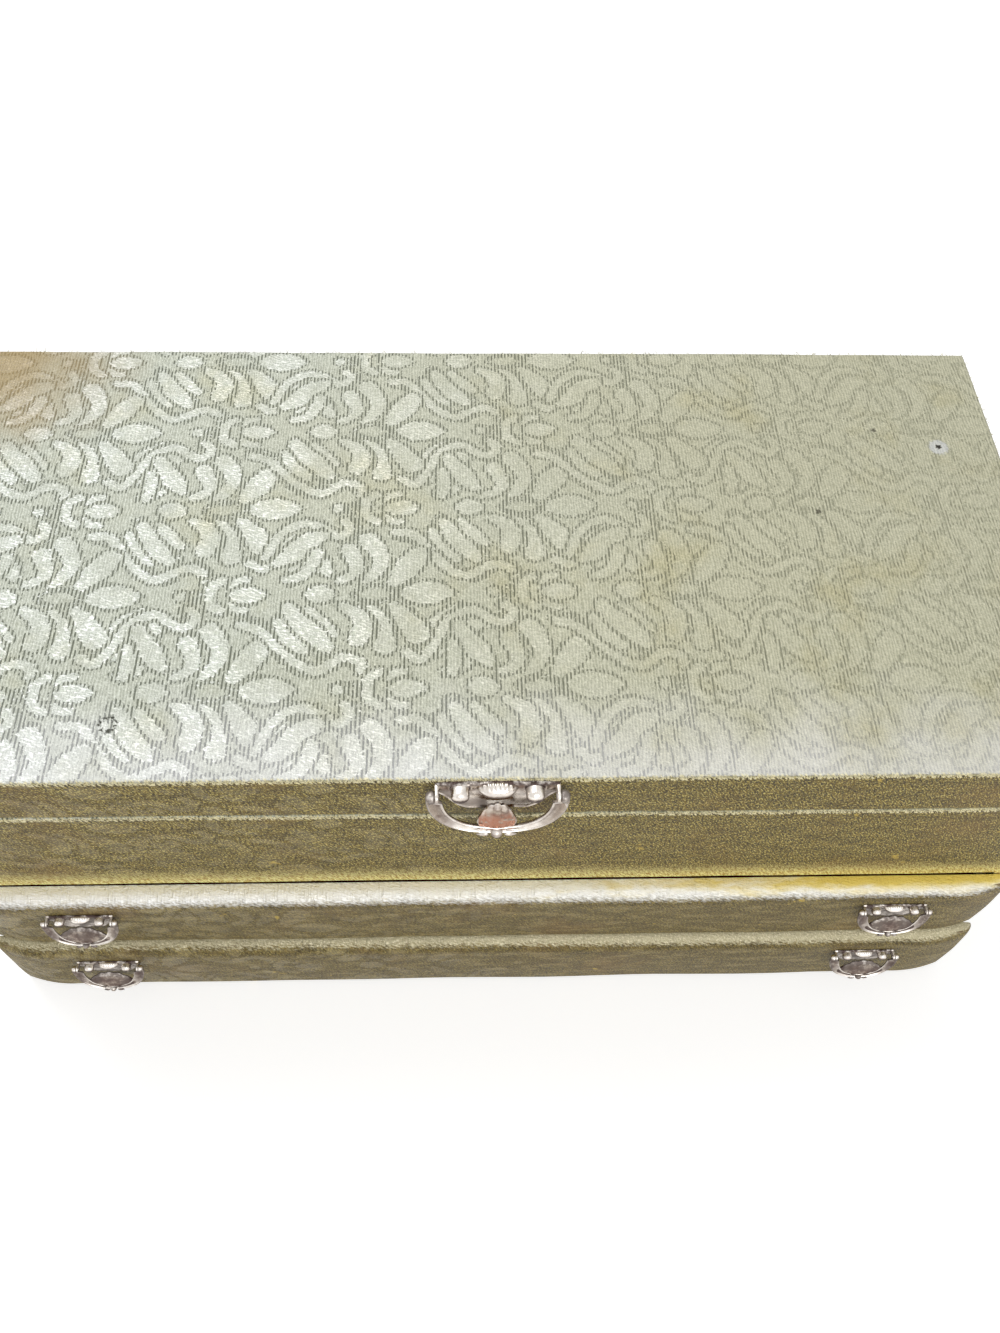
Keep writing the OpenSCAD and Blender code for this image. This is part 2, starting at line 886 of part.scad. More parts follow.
module upper_front_board() { front_board(1); }
module upper_front_cover() { front_cover(1); }
module upper_side_left() { drawer_side(1, -1); }
module upper_side_right() { drawer_side(1, 1); }
module upper_back() { drawer_back(1); }
module upper_floor() { drawer_floor(1); }
module upper_lining() { drawer_lining(1); }
module upper_pull_plate_left() { drawer_pull_plate(1, -1); }
module upper_pull_plate_right() { drawer_pull_plate(1, 1); }
module upper_pull_posts() { drawer_pull_posts(1); }
module upper_bail_left() { drawer_bail(1, -1); }
module upper_bail_right() { drawer_bail(1, 1); }
module lower_front_board() { front_board(0); }
module lower_front_cover() { front_cover(0); }
module lower_side_left() { drawer_side(0, -1); }
module lower_side_right() { drawer_side(0, 1); }
module lower_back() { drawer_back(0); }
module lower_floor() { drawer_floor(0); }
module lower_lining() { drawer_lining(0); }
module lower_pull_plate_left() { drawer_pull_plate(0, -1); }
module lower_pull_plate_right() { drawer_pull_plate(0, 1); }
module lower_pull_posts() { drawer_pull_posts(0); }
module lower_bail_left() { drawer_bail(0, -1); }
module lower_bail_right() { drawer_bail(0, 1); }

case_side_left();
case_side_right();
case_back();
case_bottom();
drawer_shelf();
tray_deck();
tray_front_wall();
case_cover();
base_paper();
tray_wall_lining();
tray_pad();
hinge_case_leaf_left();
hinge_case_leaf_right();
hinge_pin_left();
hinge_pin_right();
hinge_case_screws();
stay_stud();
lid_panel();
lid_rim_front();
lid_rim_back();
lid_rim_left();
lid_rim_right();
lid_cover();
lid_lining();
lid_mirror();
mirror_braid();
hinge_lid_leaf_left();
hinge_lid_leaf_right();
hinge_lid_screws();
stay_bracket();
lid_pull_plate();
lid_pull_posts();
lid_bail();
stay_arm();
upper_front_board();
upper_front_cover();
upper_side_left();
upper_side_right();
upper_back();
upper_floor();
upper_lining();
upper_pull_plate_left();
upper_pull_plate_right();
upper_pull_posts();
upper_bail_left();
upper_bail_right();
lower_front_board();
lower_front_cover();
lower_side_left();
lower_side_right();
lower_back();
lower_floor();
lower_lining();
lower_pull_plate_left();
lower_pull_plate_right();
lower_pull_posts();
lower_bail_left();
lower_bail_right();
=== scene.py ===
import math
import random

import bmesh
import bpy
import numpy as np
from mathutils import Matrix, Vector, noise


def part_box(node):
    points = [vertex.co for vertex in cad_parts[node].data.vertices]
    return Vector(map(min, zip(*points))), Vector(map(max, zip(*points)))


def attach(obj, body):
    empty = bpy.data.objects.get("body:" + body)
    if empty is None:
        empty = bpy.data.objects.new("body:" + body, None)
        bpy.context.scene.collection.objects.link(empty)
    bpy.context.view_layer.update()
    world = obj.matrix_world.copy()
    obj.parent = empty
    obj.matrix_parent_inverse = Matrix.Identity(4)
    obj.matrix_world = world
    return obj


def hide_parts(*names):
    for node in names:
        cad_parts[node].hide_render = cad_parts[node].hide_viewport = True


# Unless it is given a seed, mathutils.noise lays out its vector clouds by the clock, anew in each run.
noise.seed_set(5)
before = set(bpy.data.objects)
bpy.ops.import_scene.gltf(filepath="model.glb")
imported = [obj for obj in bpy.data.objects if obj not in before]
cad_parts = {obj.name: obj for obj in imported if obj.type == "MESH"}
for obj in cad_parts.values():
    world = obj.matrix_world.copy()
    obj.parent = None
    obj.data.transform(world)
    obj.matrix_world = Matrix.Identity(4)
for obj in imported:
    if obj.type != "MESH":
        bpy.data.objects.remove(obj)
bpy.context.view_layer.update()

# A gold brocade keepsake box: a flip-top lid over a velvet tray, two padded drawers and five bail pulls.
# Forms are worked out in millimetres, with +Z up and the front facing -Y, and stored in metres.
MM = 0.001


# ---- sizes from the frame ----

def box_mm(node):
    """Lowest and highest corner of a CAD node, in millimetres."""
    low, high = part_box(node)
    return np.array(low) / MM, np.array(high) / MM


lid_low, lid_high = box_mm("lid_cover")
case_low, case_high = box_mm("case_cover")
tray_low, tray_high = box_mm("tray_wall_lining")
shelf_low, shelf_high = box_mm("drawer_shelf")
bottom_high = box_mm("case_bottom")[1]
deck_low = box_mm("tray_deck")[0]


# ---- meshes ----

# Paint of a point: how much copper shows, how far it is rubbed bright and painted with a highlight, and how
# much grime and painted shade lie on it.
PLAIN, COPPER, BRIGHT, GRIME_AND_SHADE = (0.0, 0.0, 0.0), (1.0, 0.0, 0.0), (0.0, 1.0, 0.0), (0.0, 0.0, 1.0)


def some(paint, share):
    """A share, from 0 to 1, of a paint."""
    return tuple(p * min(1.0, max(0.0, share)) for p in paint)


class Form:
    """Points and faces of one piece, gathered part by part, with a paint for each point."""

    def __init__(self):
        self.points = []
        self.faces = []
        self.paint = []

    def add(self, points, faces, paint=PLAIN):
        first = len(self.points)
        self.points.extend(map(tuple, points))
        self.faces.extend(tuple(first + i for i in face) for face in faces)
        self.paint.extend([paint] * len(points))

    def move(self, change):
        self.points = [change(p) for p in self.points]


def make_object(name, points, faces):
    mesh = bpy.data.meshes.new(name)
    mesh.from_pydata([tuple(c * MM for c in p) for p in points], [], faces)
    mesh.update()
    mesh.shade_smooth()
    obj = bpy.data.objects.new(name, mesh)
    bpy.context.scene.collection.objects.link(obj)
    return obj


def point_values(obj, name, values):
    """Stores one number or one vector for each vertex, for the materials to read."""
    values = np.asarray(values, np.float32)
    kind, field = ("FLOAT", "value") if values.ndim == 1 else ("FLOAT_VECTOR", "vector")
    obj.data.attributes.new(name, kind, "POINT").data.foreach_set(field, values.ravel())


def apply_modifiers(obj):
    graph = bpy.context.evaluated_depsgraph_get()
    mesh = bpy.data.meshes.new_from_object(obj.evaluated_get(graph))
    obj.modifiers.clear()
    obj.data = mesh


def tidy_normals(obj, sharp_angle):
    """Faces outwards, smooth but for edges sharper than the angle."""
    work = bmesh.new()
    work.from_mesh(obj.data)
    bmesh.ops.recalc_face_normals(work, faces=work.faces)
    work.to_mesh(obj.data)
    work.free()
    obj.data.set_sharp_from_angle(angle=math.radians(sharp_angle))


def dress(obj, body, material, slot, *stands_for):
    """Gives a piece its finish, ties it to its body and hides the CAD nodes that it stands for."""
    obj.data.materials.clear()
    obj.data.materials.append(material)
    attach(obj, body)
    if stands_for:
        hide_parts(*stands_for)
    return obj


def grid_faces(rows, columns, closed=False):
    """Quads of a grid of points stored row by row; closed joins its last column to its first."""
    across = columns if closed else columns - 1
    return [(r * columns + c, r * columns + (c + 1) % columns,
             (r + 1) * columns + (c + 1) % columns, (r + 1) * columns + c)
            for r in range(rows - 1) for c in range(across)]


def closed_patch(form, front, back):
    """A thin solid between two grids of the same shape."""
    rows, columns = len(front), len(front[0])
    flat = [p for row in front + back for p in row]
    quads = grid_faces(rows, columns)
    half = rows * columns
    faces = quads + [tuple(half + i for i in reversed(q)) for q in quads]
    rim = ([(0, c) for c in range(columns - 1)] + [(r, columns - 1) for r in range(rows - 1)]
           + [(rows - 1, c) for c in range(columns - 1, 0, -1)] + [(r, 0) for r in range(rows - 1, 0, -1)])
    places = [r * columns + c for r, c in rim]
    faces += [(b, a, half + a, half + b) for a, b in zip(places, places[1:] + places[:1])]
    form.add(flat, faces)


def closed_ring(form, loops, levels):
    """A band through loops of (x, y) points at their levels, from first to last and back to the first."""
    count = len(loops[0])
    last = (len(loops) - 1) * count
    faces = grid_faces(len(loops), count, closed=True)
    faces += [(last + i, last + (i + 1) % count, (i + 1) % count, i) for i in range(count)]
    form.add([(x, y, z) for loop, z in zip(loops, levels) for x, y in loop], faces)


def lathe(form, profile, place, axis, steps=32, paint=PLAIN):
    """Turns (along, radius) points round an axis through place; both ends of the profile lie on the axis."""
    along = Vector(axis).normalized()
    side = along.orthogonal().normalized()
    other = along.cross(side)
    turns = [2 * math.pi * i / steps for i in range(steps)]
    points = [Vector(place) + along * a + (side * math.cos(t) + other * math.sin(t)) * r
              for a, r in profile[1:-1] for t in turns]
    rows = len(profile) - 2
    faces = grid_faces(rows, steps, closed=True)
    first, last = len(points), len(points) + 1
    points += [Vector(place) + along * profile[0][0], Vector(place) + along * profile[-1][0]]
    faces += [((i + 1) % steps, i, first) for i in range(steps)]
    end = (rows - 1) * steps
    faces += [(end + i, end + (i + 1) % steps, last) for i in range(steps)]
    form.add(points, faces, paint)


def tube(form, path, radius, sides):
    """A round thread along a list of points, closed at both ends."""
    path = [Vector(p) for p in path]
    points = []
    normal = (path[1] - path[0]).orthogonal().normalized()
    for i, p in enumerate(path):
        along = (path[min(i + 1, len(path) - 1)] - path[max(i - 1, 0)]).normalized()
        normal = (normal - along * normal.dot(along)).normalized()
        other = along.cross(normal)
        points += [p + (normal * math.cos(t) + other * math.sin(t)) * radius
                   for t in (2 * math.pi * s / sides for s in range(sides))]
    faces = grid_faces(len(path), sides, closed=True)
    faces.append(tuple(reversed(range(sides))))
    faces.append(tuple(range(len(points) - sides, len(points))))
    form.add(points, faces)


def grid_lines(low, high, radius, step, marks):
    """Places of grid lines from low to high: close where an edge is rounded, and one at each mark."""
    rounding = [0, 0.2 * radius, 0.45 * radius, 0.72 * radius, radius]
    fixed = sorted({low + r for r in rounding} | {high - r for r in rounding} | set(marks))
    lines = []
    for a, b in zip(fixed, fixed[1:]):
        pieces = max(1, round((b - a) / step))
        lines += [a + (b - a) * i / pieces for i in range(pieces)]
    return lines + [high]


def box_skin(low, high, radius, step, marks, keep):
    """The surface of a box with rounded edges, as (place on the sharp box, rounded place) and faces.
    keep(axis, side, middle) says which cells of a side stay, so that a skin can have holes."""
    lines = [grid_lines(low[i], high[i], radius, step[i], marks[i]) for i in range(3)]
    index, sharp, faces = {}, [], []
    for axis in range(3):
        a, b = (axis + 1) % 3, (axis + 2) % 3
        for side, level in enumerate((low[axis], high[axis])):
            for a0, a1 in zip(lines[a], lines[a][1:]):
                for b0, b1 in zip(lines[b], lines[b][1:]):
                    middle = [0.0, 0.0, 0.0]
                    middle[axis], middle[a], middle[b] = level, (a0 + a1) / 2, (b0 + b1) / 2
                    if not keep(axis, side, middle):
                        continue
                    corners = []
                    for u, v in ((a0, b0), (a1, b0), (a1, b1), (a0, b1)):
                        p = [0.0, 0.0, 0.0]
                        p[axis], p[a], p[b] = level, u, v
                        key = tuple(round(c * 1000) for c in p)
                        if key not in index:
                            index[key] = len(sharp)
                            sharp.append(p)
                        corners.append(index[key])
                    faces.append(tuple(corners if side else reversed(corners)))
    sharp = np.array(sharp)
    inner = np.clip(sharp, np.array(low) + radius, np.array(high) - radius)
    out = sharp - inner
    return sharp, inner + out / np.linalg.norm(out, axis=1, keepdims=True) * radius, faces


def softened(node, width):
    """A copy of a CAD node's mesh with its sharp edges taken off, width mm wide."""
    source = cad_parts[node]
    obj = bpy.data.objects.new(node + "_finished", source.data.copy())
    bpy.context.scene.collection.objects.link(obj)
    work = bmesh.new()
    work.from_mesh(obj.data)
    bmesh.ops.remove_doubles(work, verts=work.verts, dist=1e-7)
    bmesh.ops.dissolve_limit(work, angle_limit=math.radians(0.5), verts=work.verts, edges=work.edges)
    work.to_mesh(obj.data)
    work.free()
    bevel = obj.modifiers.new("bevel", "BEVEL")
    bevel.width = width * MM
    bevel.segments = 2
    bevel.limit_method = "ANGLE"
    bevel.angle_limit = math.radians(35)
    apply_modifiers(obj)
    obj.data.shade_smooth()
    obj.data.set_sharp_from_angle(angle=math.radians(38))
    return obj


# ---- the woven figure: a leaf with curling petals, between scrolls, in a half-drop repeat ----

# One repeat of the cloth in mm, where the middle of a calyx lies on the lid, and how the rows slant.
REPEAT_W, REPEAT_H = 82.0, 59.0
REPEAT_ORIGIN = (-73.5, 9.9)
ROW_RISE, COLUMN_LEAN = 1.2 / 81.9, 2.8 / 59.3
# The field that holds the figure: its grid, the farthest distance it tells, and the clear line round a shape.
FIELD_STEP, FIELD_REACH, OUTLINE_W = 0.25, 3.0, 0.9

# Strokes of the figure from the middle of its calyx: (across, up, half width) at a few points of each.
PETALS = [
    [(4.1, 2.4, 0.9), (6.8, 6.0, 2.3), (9.1, 9.2, 3.1), (11.8, 12.8, 2.5)],
    [(-2.2, 3.6, 1.1), (1.6, 9.9, 1.8), (0.6, 15.0, 2.2), (-1.4, 18.0, 2.5)],
    [(-9.1, 4.6, 1.0), (-6.6, 5.6, 1.1), (-4.7, 8.6, 1.5), (-6.6, 14.5, 2.2)],
    [(4.7, -3.9, 1.0), (7.8, -8.2, 2.5), (10.9, -13.0, 3.0)],
    [(-1.6, -3.9, 0.9), (1.9, -8.0, 1.1), (2.8, -12.5, 1.4), (2.5, -16.6, 2.5)],
    [(-8.4, -3.9, 1.0), (-4.6, -6.6, 1.9), (-3.2, -10.5, 2.3), (-4.4, -14.2, 2.3)],
]
SCROLLS = [
    [(-29.1, 12.4), (-25.3, 20.5), (-19.1, 24.3), (-14.1, 22.6), (-9.7, 19.6), (-6.6, 22.2), (-7.8, 24.9)],
    [(5.9, 20.5), (10.9, 19.9), (15.3, 13.6), (19.1, 8.6), (24.1, 5.5), (29.1, 8.0), (33.4, 9.3),
     (36.6, 7.4)],
    [(-34.7, -9.5), (-29.7, -11.4), (-23.4, -18.3), (-18.4, -22.6), (-14.1, -23.9), (-8.4, -20.1),
     (-4.1, -21.4), (-3.4, -24.5)],
    [(7.8, -18.9), (11.6, -20.8), (15.3, -15.8), (19.1, -8.9), (25.3, -5.8), (29.7, -8.9), (33.4, -10.1),
     (35.9, -7.0), (34.1, -4.5)],
]
FEATHERS = [
    [(-26.0, 10.5, 1.2), (-22.0, 13.5, 2.6), (-18.0, 17.5, 2.8), (-14.2, 19.8, 1.5)],
    [(-23.4, 4.9, 0.9), (-19.5, 6.0, 1.2), (-17.0, 9.5, 1.5), (-15.5, 13.5, 1.6)],
    [(19.0, 24.2, 1.1), (21.5, 20.0, 2.4), (24.5, 15.5, 2.6), (27.6, 11.4, 1.2)],
    [(24.0, 24.2, 1.0), (26.6, 20.6, 1.5), (29.8, 17.0, 1.3)],
    [(-22.5, -4.5, 1.5), (-20.5, -8.5, 2.5), (-16.5, -12.5, 2.8), (-12.4, -17.0, 1.5)],
    [(-25.2, -8.6, 1.0), (-22.8, -13.5, 1.5), (-18.8, -17.6, 1.3)],
    [(21.5, -10.5, 1.3), (23.0, -14.5, 2.5), (26.0, -18.5, 2.6), (28.6, -22.4, 1.1)],
    [(19.1, -25.1, 1.0), (20.0, -20.5, 1.5), (19.6, -16.0, 1.1)],
]
SMALL_FLOWER = [
    [(3.6, -26.6, 0.8), (4.6, -24.9, 0.9), (7.0, -24.5, 0.9)],
    [(3.6, -32.4, 0.8), (4.6, -34.1, 0.9), (7.0, -34.5, 0.9)],
    [(0.9, -24.5, 1.0), (-2.0, -27.0, 1.1), (-2.0, -32.0, 1.1), (0.9, -34.5, 1.0)],
    [(-9.7, -29.5, 1.2), (-9.5, -29.5, 1.2)],
]
# Leaves: (middle, half width, half height).
POINTED_LEAVES = [((13.6, 0.0), 7.7, 3.9), ((7.6, -29.5), 5.2, 2.8), ((-14.4, 0.0), 4.2, 3.0)]
OPEN_LENSES = [((0.0, 0.0), 5.9, 2.8), ((-5.9, -29.5), 1.5, 1.4)]
SCROLL_HALF_W, LINE_HALF_W, SWELL = 1.05, 0.12, 0.4
STROKE_PIECES = 4


def smooth_stroke(points):
    """More points along a stroke, on a curve through the given ones."""
    p = np.array([list(q) + [SCROLL_HALF_W] * (3 - len(q)) for q in points])
    p = np.vstack([2 * p[0] - p[1], p, 2 * p[-1] - p[-2]])
    curve = []
    for i in range(1, len(p) - 2):
        for t in (j / STROKE_PIECES for j in range(STROKE_PIECES)):
            curve.append(0.5 * (2 * p[i] + (p[i + 1] - p[i - 1]) * t
                                + (2 * p[i - 1] - 5 * p[i] + 4 * p[i + 1] - p[i + 2]) * t ** 2
                                + (3 * p[i] - p[i - 1] - 3 * p[i + 1] + p[i + 2]) * t ** 3))
    return np.array(curve + [p[-2]])


def draw_on_field(field, low, high, distance):
    """Lays a shape over what the field holds, clear of it all round, in the window from low to high."""
    rows, columns = field.shape
    across = np.arange(math.floor(low[0] / FIELD_STEP), math.ceil(high[0] / FIELD_STEP) + 1)
    up = np.arange(math.floor(low[1] / FIELD_STEP), math.ceil(high[1] / FIELD_STEP) + 1)
    x, y = np.meshgrid(across * FIELD_STEP, up * FIELD_STEP)
    window = np.ix_(up % rows, across % columns)
    away, before = distance(x, y), field[window]
    field[window] = np.where(away < OUTLINE_W, away, np.minimum(before, away))


def to_stroke(curve):
    """Distance from a place to the edge of a stroke, whose half width changes along it."""
    def distance(x, y):
        nearest = np.full(x.shape, np.inf)
        for a, b in zip(curve, curve[1:]):
            along = b[:2] - a[:2]
            t = np.clip(((x - a[0]) * along[0] + (y - a[1]) * along[1]) / max(along @ along, 1e-6), 0, 1)
            away = np.hypot(x - a[0] - t * along[0], y - a[1] - t * along[1])
            nearest = np.minimum(nearest, away - a[2] - t * (b[2] - a[2]) - SWELL)
        return nearest
    return distance


def to_leaf(centre, half_w, half_h, is_outline):
    """Distance to a leaf pointed at both ends, or to the line round it."""
    radius = (half_w ** 2 + half_h ** 2) / (2 * half_h)

    def distance(x, y):
        away = np.hypot(x - centre[0], abs(y - centre[1]) + radius - half_h) - radius
        return abs(away) - LINE_HALF_W if is_outline else away
    return distance


def figure_field():
    """Distance in mm to the edge of the figure, below zero inside it, over one repeat of the cloth."""
    field = np.full((round(REPEAT_H / FIELD_STEP), round(REPEAT_W / FIELD_STEP)), FIELD_REACH)
    for shift in ((0.0, 0.0), (REPEAT_W / 2, REPEAT_H / 2)):
        for stroke in SCROLLS + FEATHERS + SMALL_FLOWER + PETALS:
            curve = smooth_stroke(stroke) + np.array([*shift, 0.0])
            reach = curve[:, 2].max() + FIELD_REACH
            draw_on_field(field, curve[:, :2].min(axis=0) - reach, curve[:, :2].max(axis=0) + reach,
                          to_stroke(curve))
        for leaves, is_outline in ((POINTED_LEAVES, False), (OPEN_LENSES, True)):
            for middle, half_w, half_h in leaves:
                centre = np.array(middle) + shift
                reach = np.array([half_w, half_h]) + FIELD_REACH
                leaf = to_leaf(centre, half_w, half_h, is_outline)
                draw_on_field(field, centre - reach, centre + reach, leaf)
    return field


FIGURE_FIELD = figure_field()


def figure_distance(cloth):
    """The figure's distance at places on the cloth, read between the field's points."""
    rows, columns = FIGURE_FIELD.shape
    x = cloth[:, 0] - REPEAT_ORIGIN[0]
    y = cloth[:, 1] - REPEAT_ORIGIN[1]
    across = ((x + COLUMN_LEAN * y) / FIELD_STEP) % columns
    up = ((y - ROW_RISE * x) / FIELD_STEP) % rows
    c0, r0 = np.floor(across).astype(int), np.floor(up).astype(int)
    fc, fr = across - c0, up - r0
    c1, r1 = (c0 + 1) % columns, (r0 + 1) % rows
    c0, r0 = c0 % columns, r0 % rows
    low = FIGURE_FIELD[r0, c0] * (1 - fc) + FIGURE_FIELD[r0, c1] * fc
    high = FIGURE_FIELD[r1, c0] * (1 - fc) + FIGURE_FIELD[r1, c1] * fc
    return low * (1 - fr) + high * fr


def vertex_normals(obj):
    normals = np.zeros(len(obj.data.vertices) * 3, np.float32)
    obj.data.vertex_normals.foreach_get("vector", normals)
    return normals.reshape(-1, 3)


def weave(obj, cloth, painted_glow=None):
    """Gives a brocade piece its thread directions, its figure, how far each point faces up, which paints lit
    tops and shaded fronts, and where a painted glow lies on it.
    """
    cloth = np.column_stack([cloth, np.zeros(len(cloth))])
    point_values(obj, "cloth", cloth)
    point_values(obj, "figure", figure_distance(cloth))
    point_values(obj, "facing_up", np.clip(vertex_normals(obj)[:, 2], 0, 1))
    point_values(obj, "painted_glow", np.zeros(len(cloth)) if painted_glow is None else painted_glow)


# ---- shader nodes ----

def colour(text):
    """A colour written as on a screen, such as c8b070, as the shader's linear red, green and blue."""
    screen = [int(text[i:i + 2], 16) / 255 for i in (0, 2, 4)]
    return [c / 12.92 if c <= 0.04045 else ((c + 0.055) / 1.055) ** 2.4 for c in screen] + [1.0]


class Nodes:
    """Adds nodes to one tree. An input is a plain value, a colour as text, or another node's output."""

    def __init__(self, tree):
        self.tree = tree

    def feed(self, socket, value):
        if isinstance(value, bpy.types.NodeSocket):
            self.tree.links.new(value, socket)
        elif value is not None:
            socket.default_value = colour(value) if isinstance(value, str) else value

    def add(self, kind, inputs=(), **settings):
        node = self.tree.nodes.new("ShaderNode" + kind)
        count = len(self.tree.nodes)
        node.location = (200 * (count % 8), -260 * (count // 8))
        for name, value in settings.items():
            setattr(node, name, value)
        for name, value in dict(inputs).items():
            self.feed(node.inputs[name], value)
        return node

    def place(self, tree, **inputs):
        """A group's outputs, with its inputs given by name; an underscore stands for a space."""
        named = {name.replace("_", " "): value for name, value in inputs.items()}
        return self.add("Group", named, node_tree=tree).outputs

    def value(self, name):
        return self.add("Attribute", attribute_name=name).outputs["Fac"]

    def vector(self, name):
        return self.add("Attribute", attribute_name=name).outputs["Vector"]

    def own_place(self):
        return self.add("TexCoord").outputs["Object"]

    def split(self, vector):
        return self.add("SeparateXYZ", {0: vector}).outputs[:2]

    def stretch(self, vector, scale):
        return self.add("VectorMath", {0: vector, 1: scale}, operation="MULTIPLY").outputs[0]

    def distance(self, a, b):
        return self.add("VectorMath", {0: a, 1: b}, operation="DISTANCE").outputs[1]

    def math(self, operation, a, b=None, clamp=False):
        return self.add("Math", {0: a, 1: b}, operation=operation, use_clamp=clamp).outputs[0]

    def plus(self, a, b):
        return self.math("ADD", a, b)

    def times(self, a, b):
        return self.math("MULTIPLY", a, b)

    def larger(self, a, b):
        return self.math("MAXIMUM", a, b)

    def step(self, value, low, high, to_low=0.0, to_high=1.0):
        """A smooth step from to_low, where value is low, to to_high, where it is high."""
        return self.add("MapRange", {"Value": value, "From Min": low, "From Max": high,
                                     "To Min": to_low, "To Max": to_high},
                        interpolation_type="SMOOTHSTEP").outputs[0]

    def mix(self, share, a, b, blend="MIX"):
        return self.add("Mix", {0: share, 6: a, 7: b}, data_type="RGBA", blend_type=blend).outputs[2]

    def tint(self, base, tone, mask, share=1.0, blend="MIX"):
        """The base taken towards a tone where the mask is, by no more than a share."""
        return self.mix(mask if share == 1.0 else self.times(mask, share), base, tone, blend)

    def cloud(self, vector, scale, detail=2.0, roughness=0.5):
        return self.add("TexNoise", {"Vector": vector, "Scale": scale, "Detail": detail,
                                     "Roughness": roughness}).outputs[0]

    def blotches(self, place, scale, start, softness):
        return self.place(BLOTCHES, Place=place, Scale=scale, Start=start, Softness=softness)["Mask"]


def shader_group(name, inputs, outputs, build):
    """A node group. inputs maps a name to its default value, where three numbers make a vector."""
    tree = bpy.data.node_groups.new(name, "ShaderNodeTree")
    for label, default in inputs.items():
        kind = "NodeSocketVector" if isinstance(default, tuple) else "NodeSocketFloat"
        tree.interface.new_socket(label, in_out="INPUT", socket_type=kind).default_value = default
    for label in outputs:
        tree.interface.new_socket(label, in_out="OUTPUT", socket_type="NodeSocketFloat")
    given = tree.nodes.new("NodeGroupInput")
    result = tree.nodes.new("NodeGroupOutput")
    nodes = Nodes(tree)
    for label, value in build(nodes, given.outputs).items():
        nodes.feed(result.inputs[label], value)
    return tree


def build_threads(nodes, given):
    """Warp lines that run up the cloth, short satin floats that lie askew across it, and bright flecks."""
    cloth = given["Cloth"]
    wander = nodes.cloud(nodes.stretch(cloth, (0.35, 0.12, 1.0)), 1.0)
    shifted = nodes.plus(nodes.split(cloth)[0], nodes.times(wander, 1.6))
    turn = nodes.times(shifted, nodes.math("DIVIDE", 2 * math.pi, given["Pitch"]))
    broken = nodes.step(nodes.cloud(nodes.stretch(cloth, (1.2, 0.5, 1.0)), 1.0, 1.0), 0.3, 0.7, -0.8, 0.8)
    warp = nodes.step(nodes.plus(nodes.math("SINE", turn), broken), -1.0, 1.0)
    sized = nodes.add("VectorMath", {0: cloth, 3: given["Fineness"]}, operation="SCALE").outputs[0]
    askew = nodes.add("VectorRotate", {"Vector": sized, "Angle": given["Askew"]},
                      rotation_type="Z_AXIS").outputs[0]
    floats = nodes.cloud(nodes.stretch(askew, (0.62, 2.1, 1.0)), 1.0, 2.0, 0.65)
    flecks = nodes.cloud(nodes.stretch(askew, (1.1, 2.1, 1.0)), 1.35, 2.0, 0.75)
    fleck_end = nodes.plus(given["Fleck Start"], 0.14)
    return {"Warp": warp,
            "Floats": nodes.step(floats, 0.38, 0.62),
            "Flecks": nodes.step(flecks, given["Fleck Start"], fleck_end)}


def build_figure(nodes, given):
    """Inside of the woven figure, and the dark binding stitches that run round it, one for each warp end."""
    ragged = nodes.cloud(nodes.stretch(given["Cloth"], (1.3, 0.9, 1.0)), 1.0, 1.0)
    distance = nodes.plus(given["Distance"], nodes.step(ragged, 0.3, 0.7, -0.42, 0.42))
    band = nodes.times(nodes.step(distance, -0.3, 0.0), nodes.step(distance, 0.95, 0.65))
    turn = nodes.times(nodes.split(given["Cloth"])[0],
                       nodes.math("DIVIDE", 2 * math.pi, given["Stitch Pitch"]))
    stitch = nodes.step(nodes.math("SINE", turn), 0.1, 0.5)
    return {"Inside": nodes.step(distance, 0.15, -0.25), "Stitches": nodes.times(band, stitch)}


def build_blotches(nodes, given):
    """Patches of one size that cover a share of the surface, with soft ragged edges."""
    shape = nodes.cloud(given["Place"], given["Scale"], 4.0, 0.6)
    return {"Mask": nodes.step(shape, given["Start"], nodes.plus(given["Start"], given["Softness"]))}


def build_mark(nodes, given):
    """A round mark at a place on the cloth: a filled spot out to Inner, and a ring from there to Outer."""
    away = nodes.distance(given["Cloth"], given["Centre"])
    away = nodes.plus(away, nodes.step(nodes.cloud(given["Cloth"], 1.4, 2.0), 0.2, 0.8, -0.5, 0.5))
    spot = nodes.step(nodes.math("SUBTRACT", away, given["Inner"]), 0.25, -0.25)
    disc = nodes.step(nodes.math("SUBTRACT", away, given["Outer"]), 0.4, -0.4)
    return {"Spot": spot, "Ring": nodes.math("SUBTRACT", disc, spot, clamp=True)}


def build_wear(nodes, given):
    """Rubbed edges and dirty hollows of a hard piece, broken up by a fine cloud."""
    bend = nodes.add("NewGeometry").outputs["Pointiness"]
    cloud = nodes.cloud(given["Place"], given["Scale"], 4.0, 0.65)
    uneven = nodes.plus(bend, nodes.step(cloud, 0.25, 0.75, -0.02, 0.02))
    return {"Rubbed": nodes.step(uneven, 0.51, 0.56), "Hollow": nodes.step(uneven, 0.49, 0.43),
            "Cloud": cloud}


NOWHERE = (0.0, 0.0, 0.0)
THREADS = shader_group("woven_threads", {"Cloth": NOWHERE, "Pitch": 0.84, "Askew": 0.3, "Fineness": 1.0,
                                         "Fleck Start": 0.5}, ("Warp", "Floats", "Flecks"), build_threads)
FIGURE = shader_group("woven_figure", {"Cloth": NOWHERE, "Distance": 1.0, "Stitch Pitch": 1.05},
                      ("Inside", "Stitches"), build_figure)
BLOTCHES = shader_group("blotches", {"Place": NOWHERE, "Scale": 1.0, "Start": 0.55, "Softness": 0.1},
                        ("Mask",), build_blotches)
MARK = shader_group("round_mark", {"Cloth": NOWHERE, "Centre": NOWHERE, "Inner": 0.7, "Outer": 2.5},
                    ("Spot", "Ring"), build_mark)
WEAR = shader_group("rubbed_and_dirty", {"Place": NOWHERE, "Scale": 300.0},
                    ("Rubbed", "Hollow", "Cloud"), build_wear)


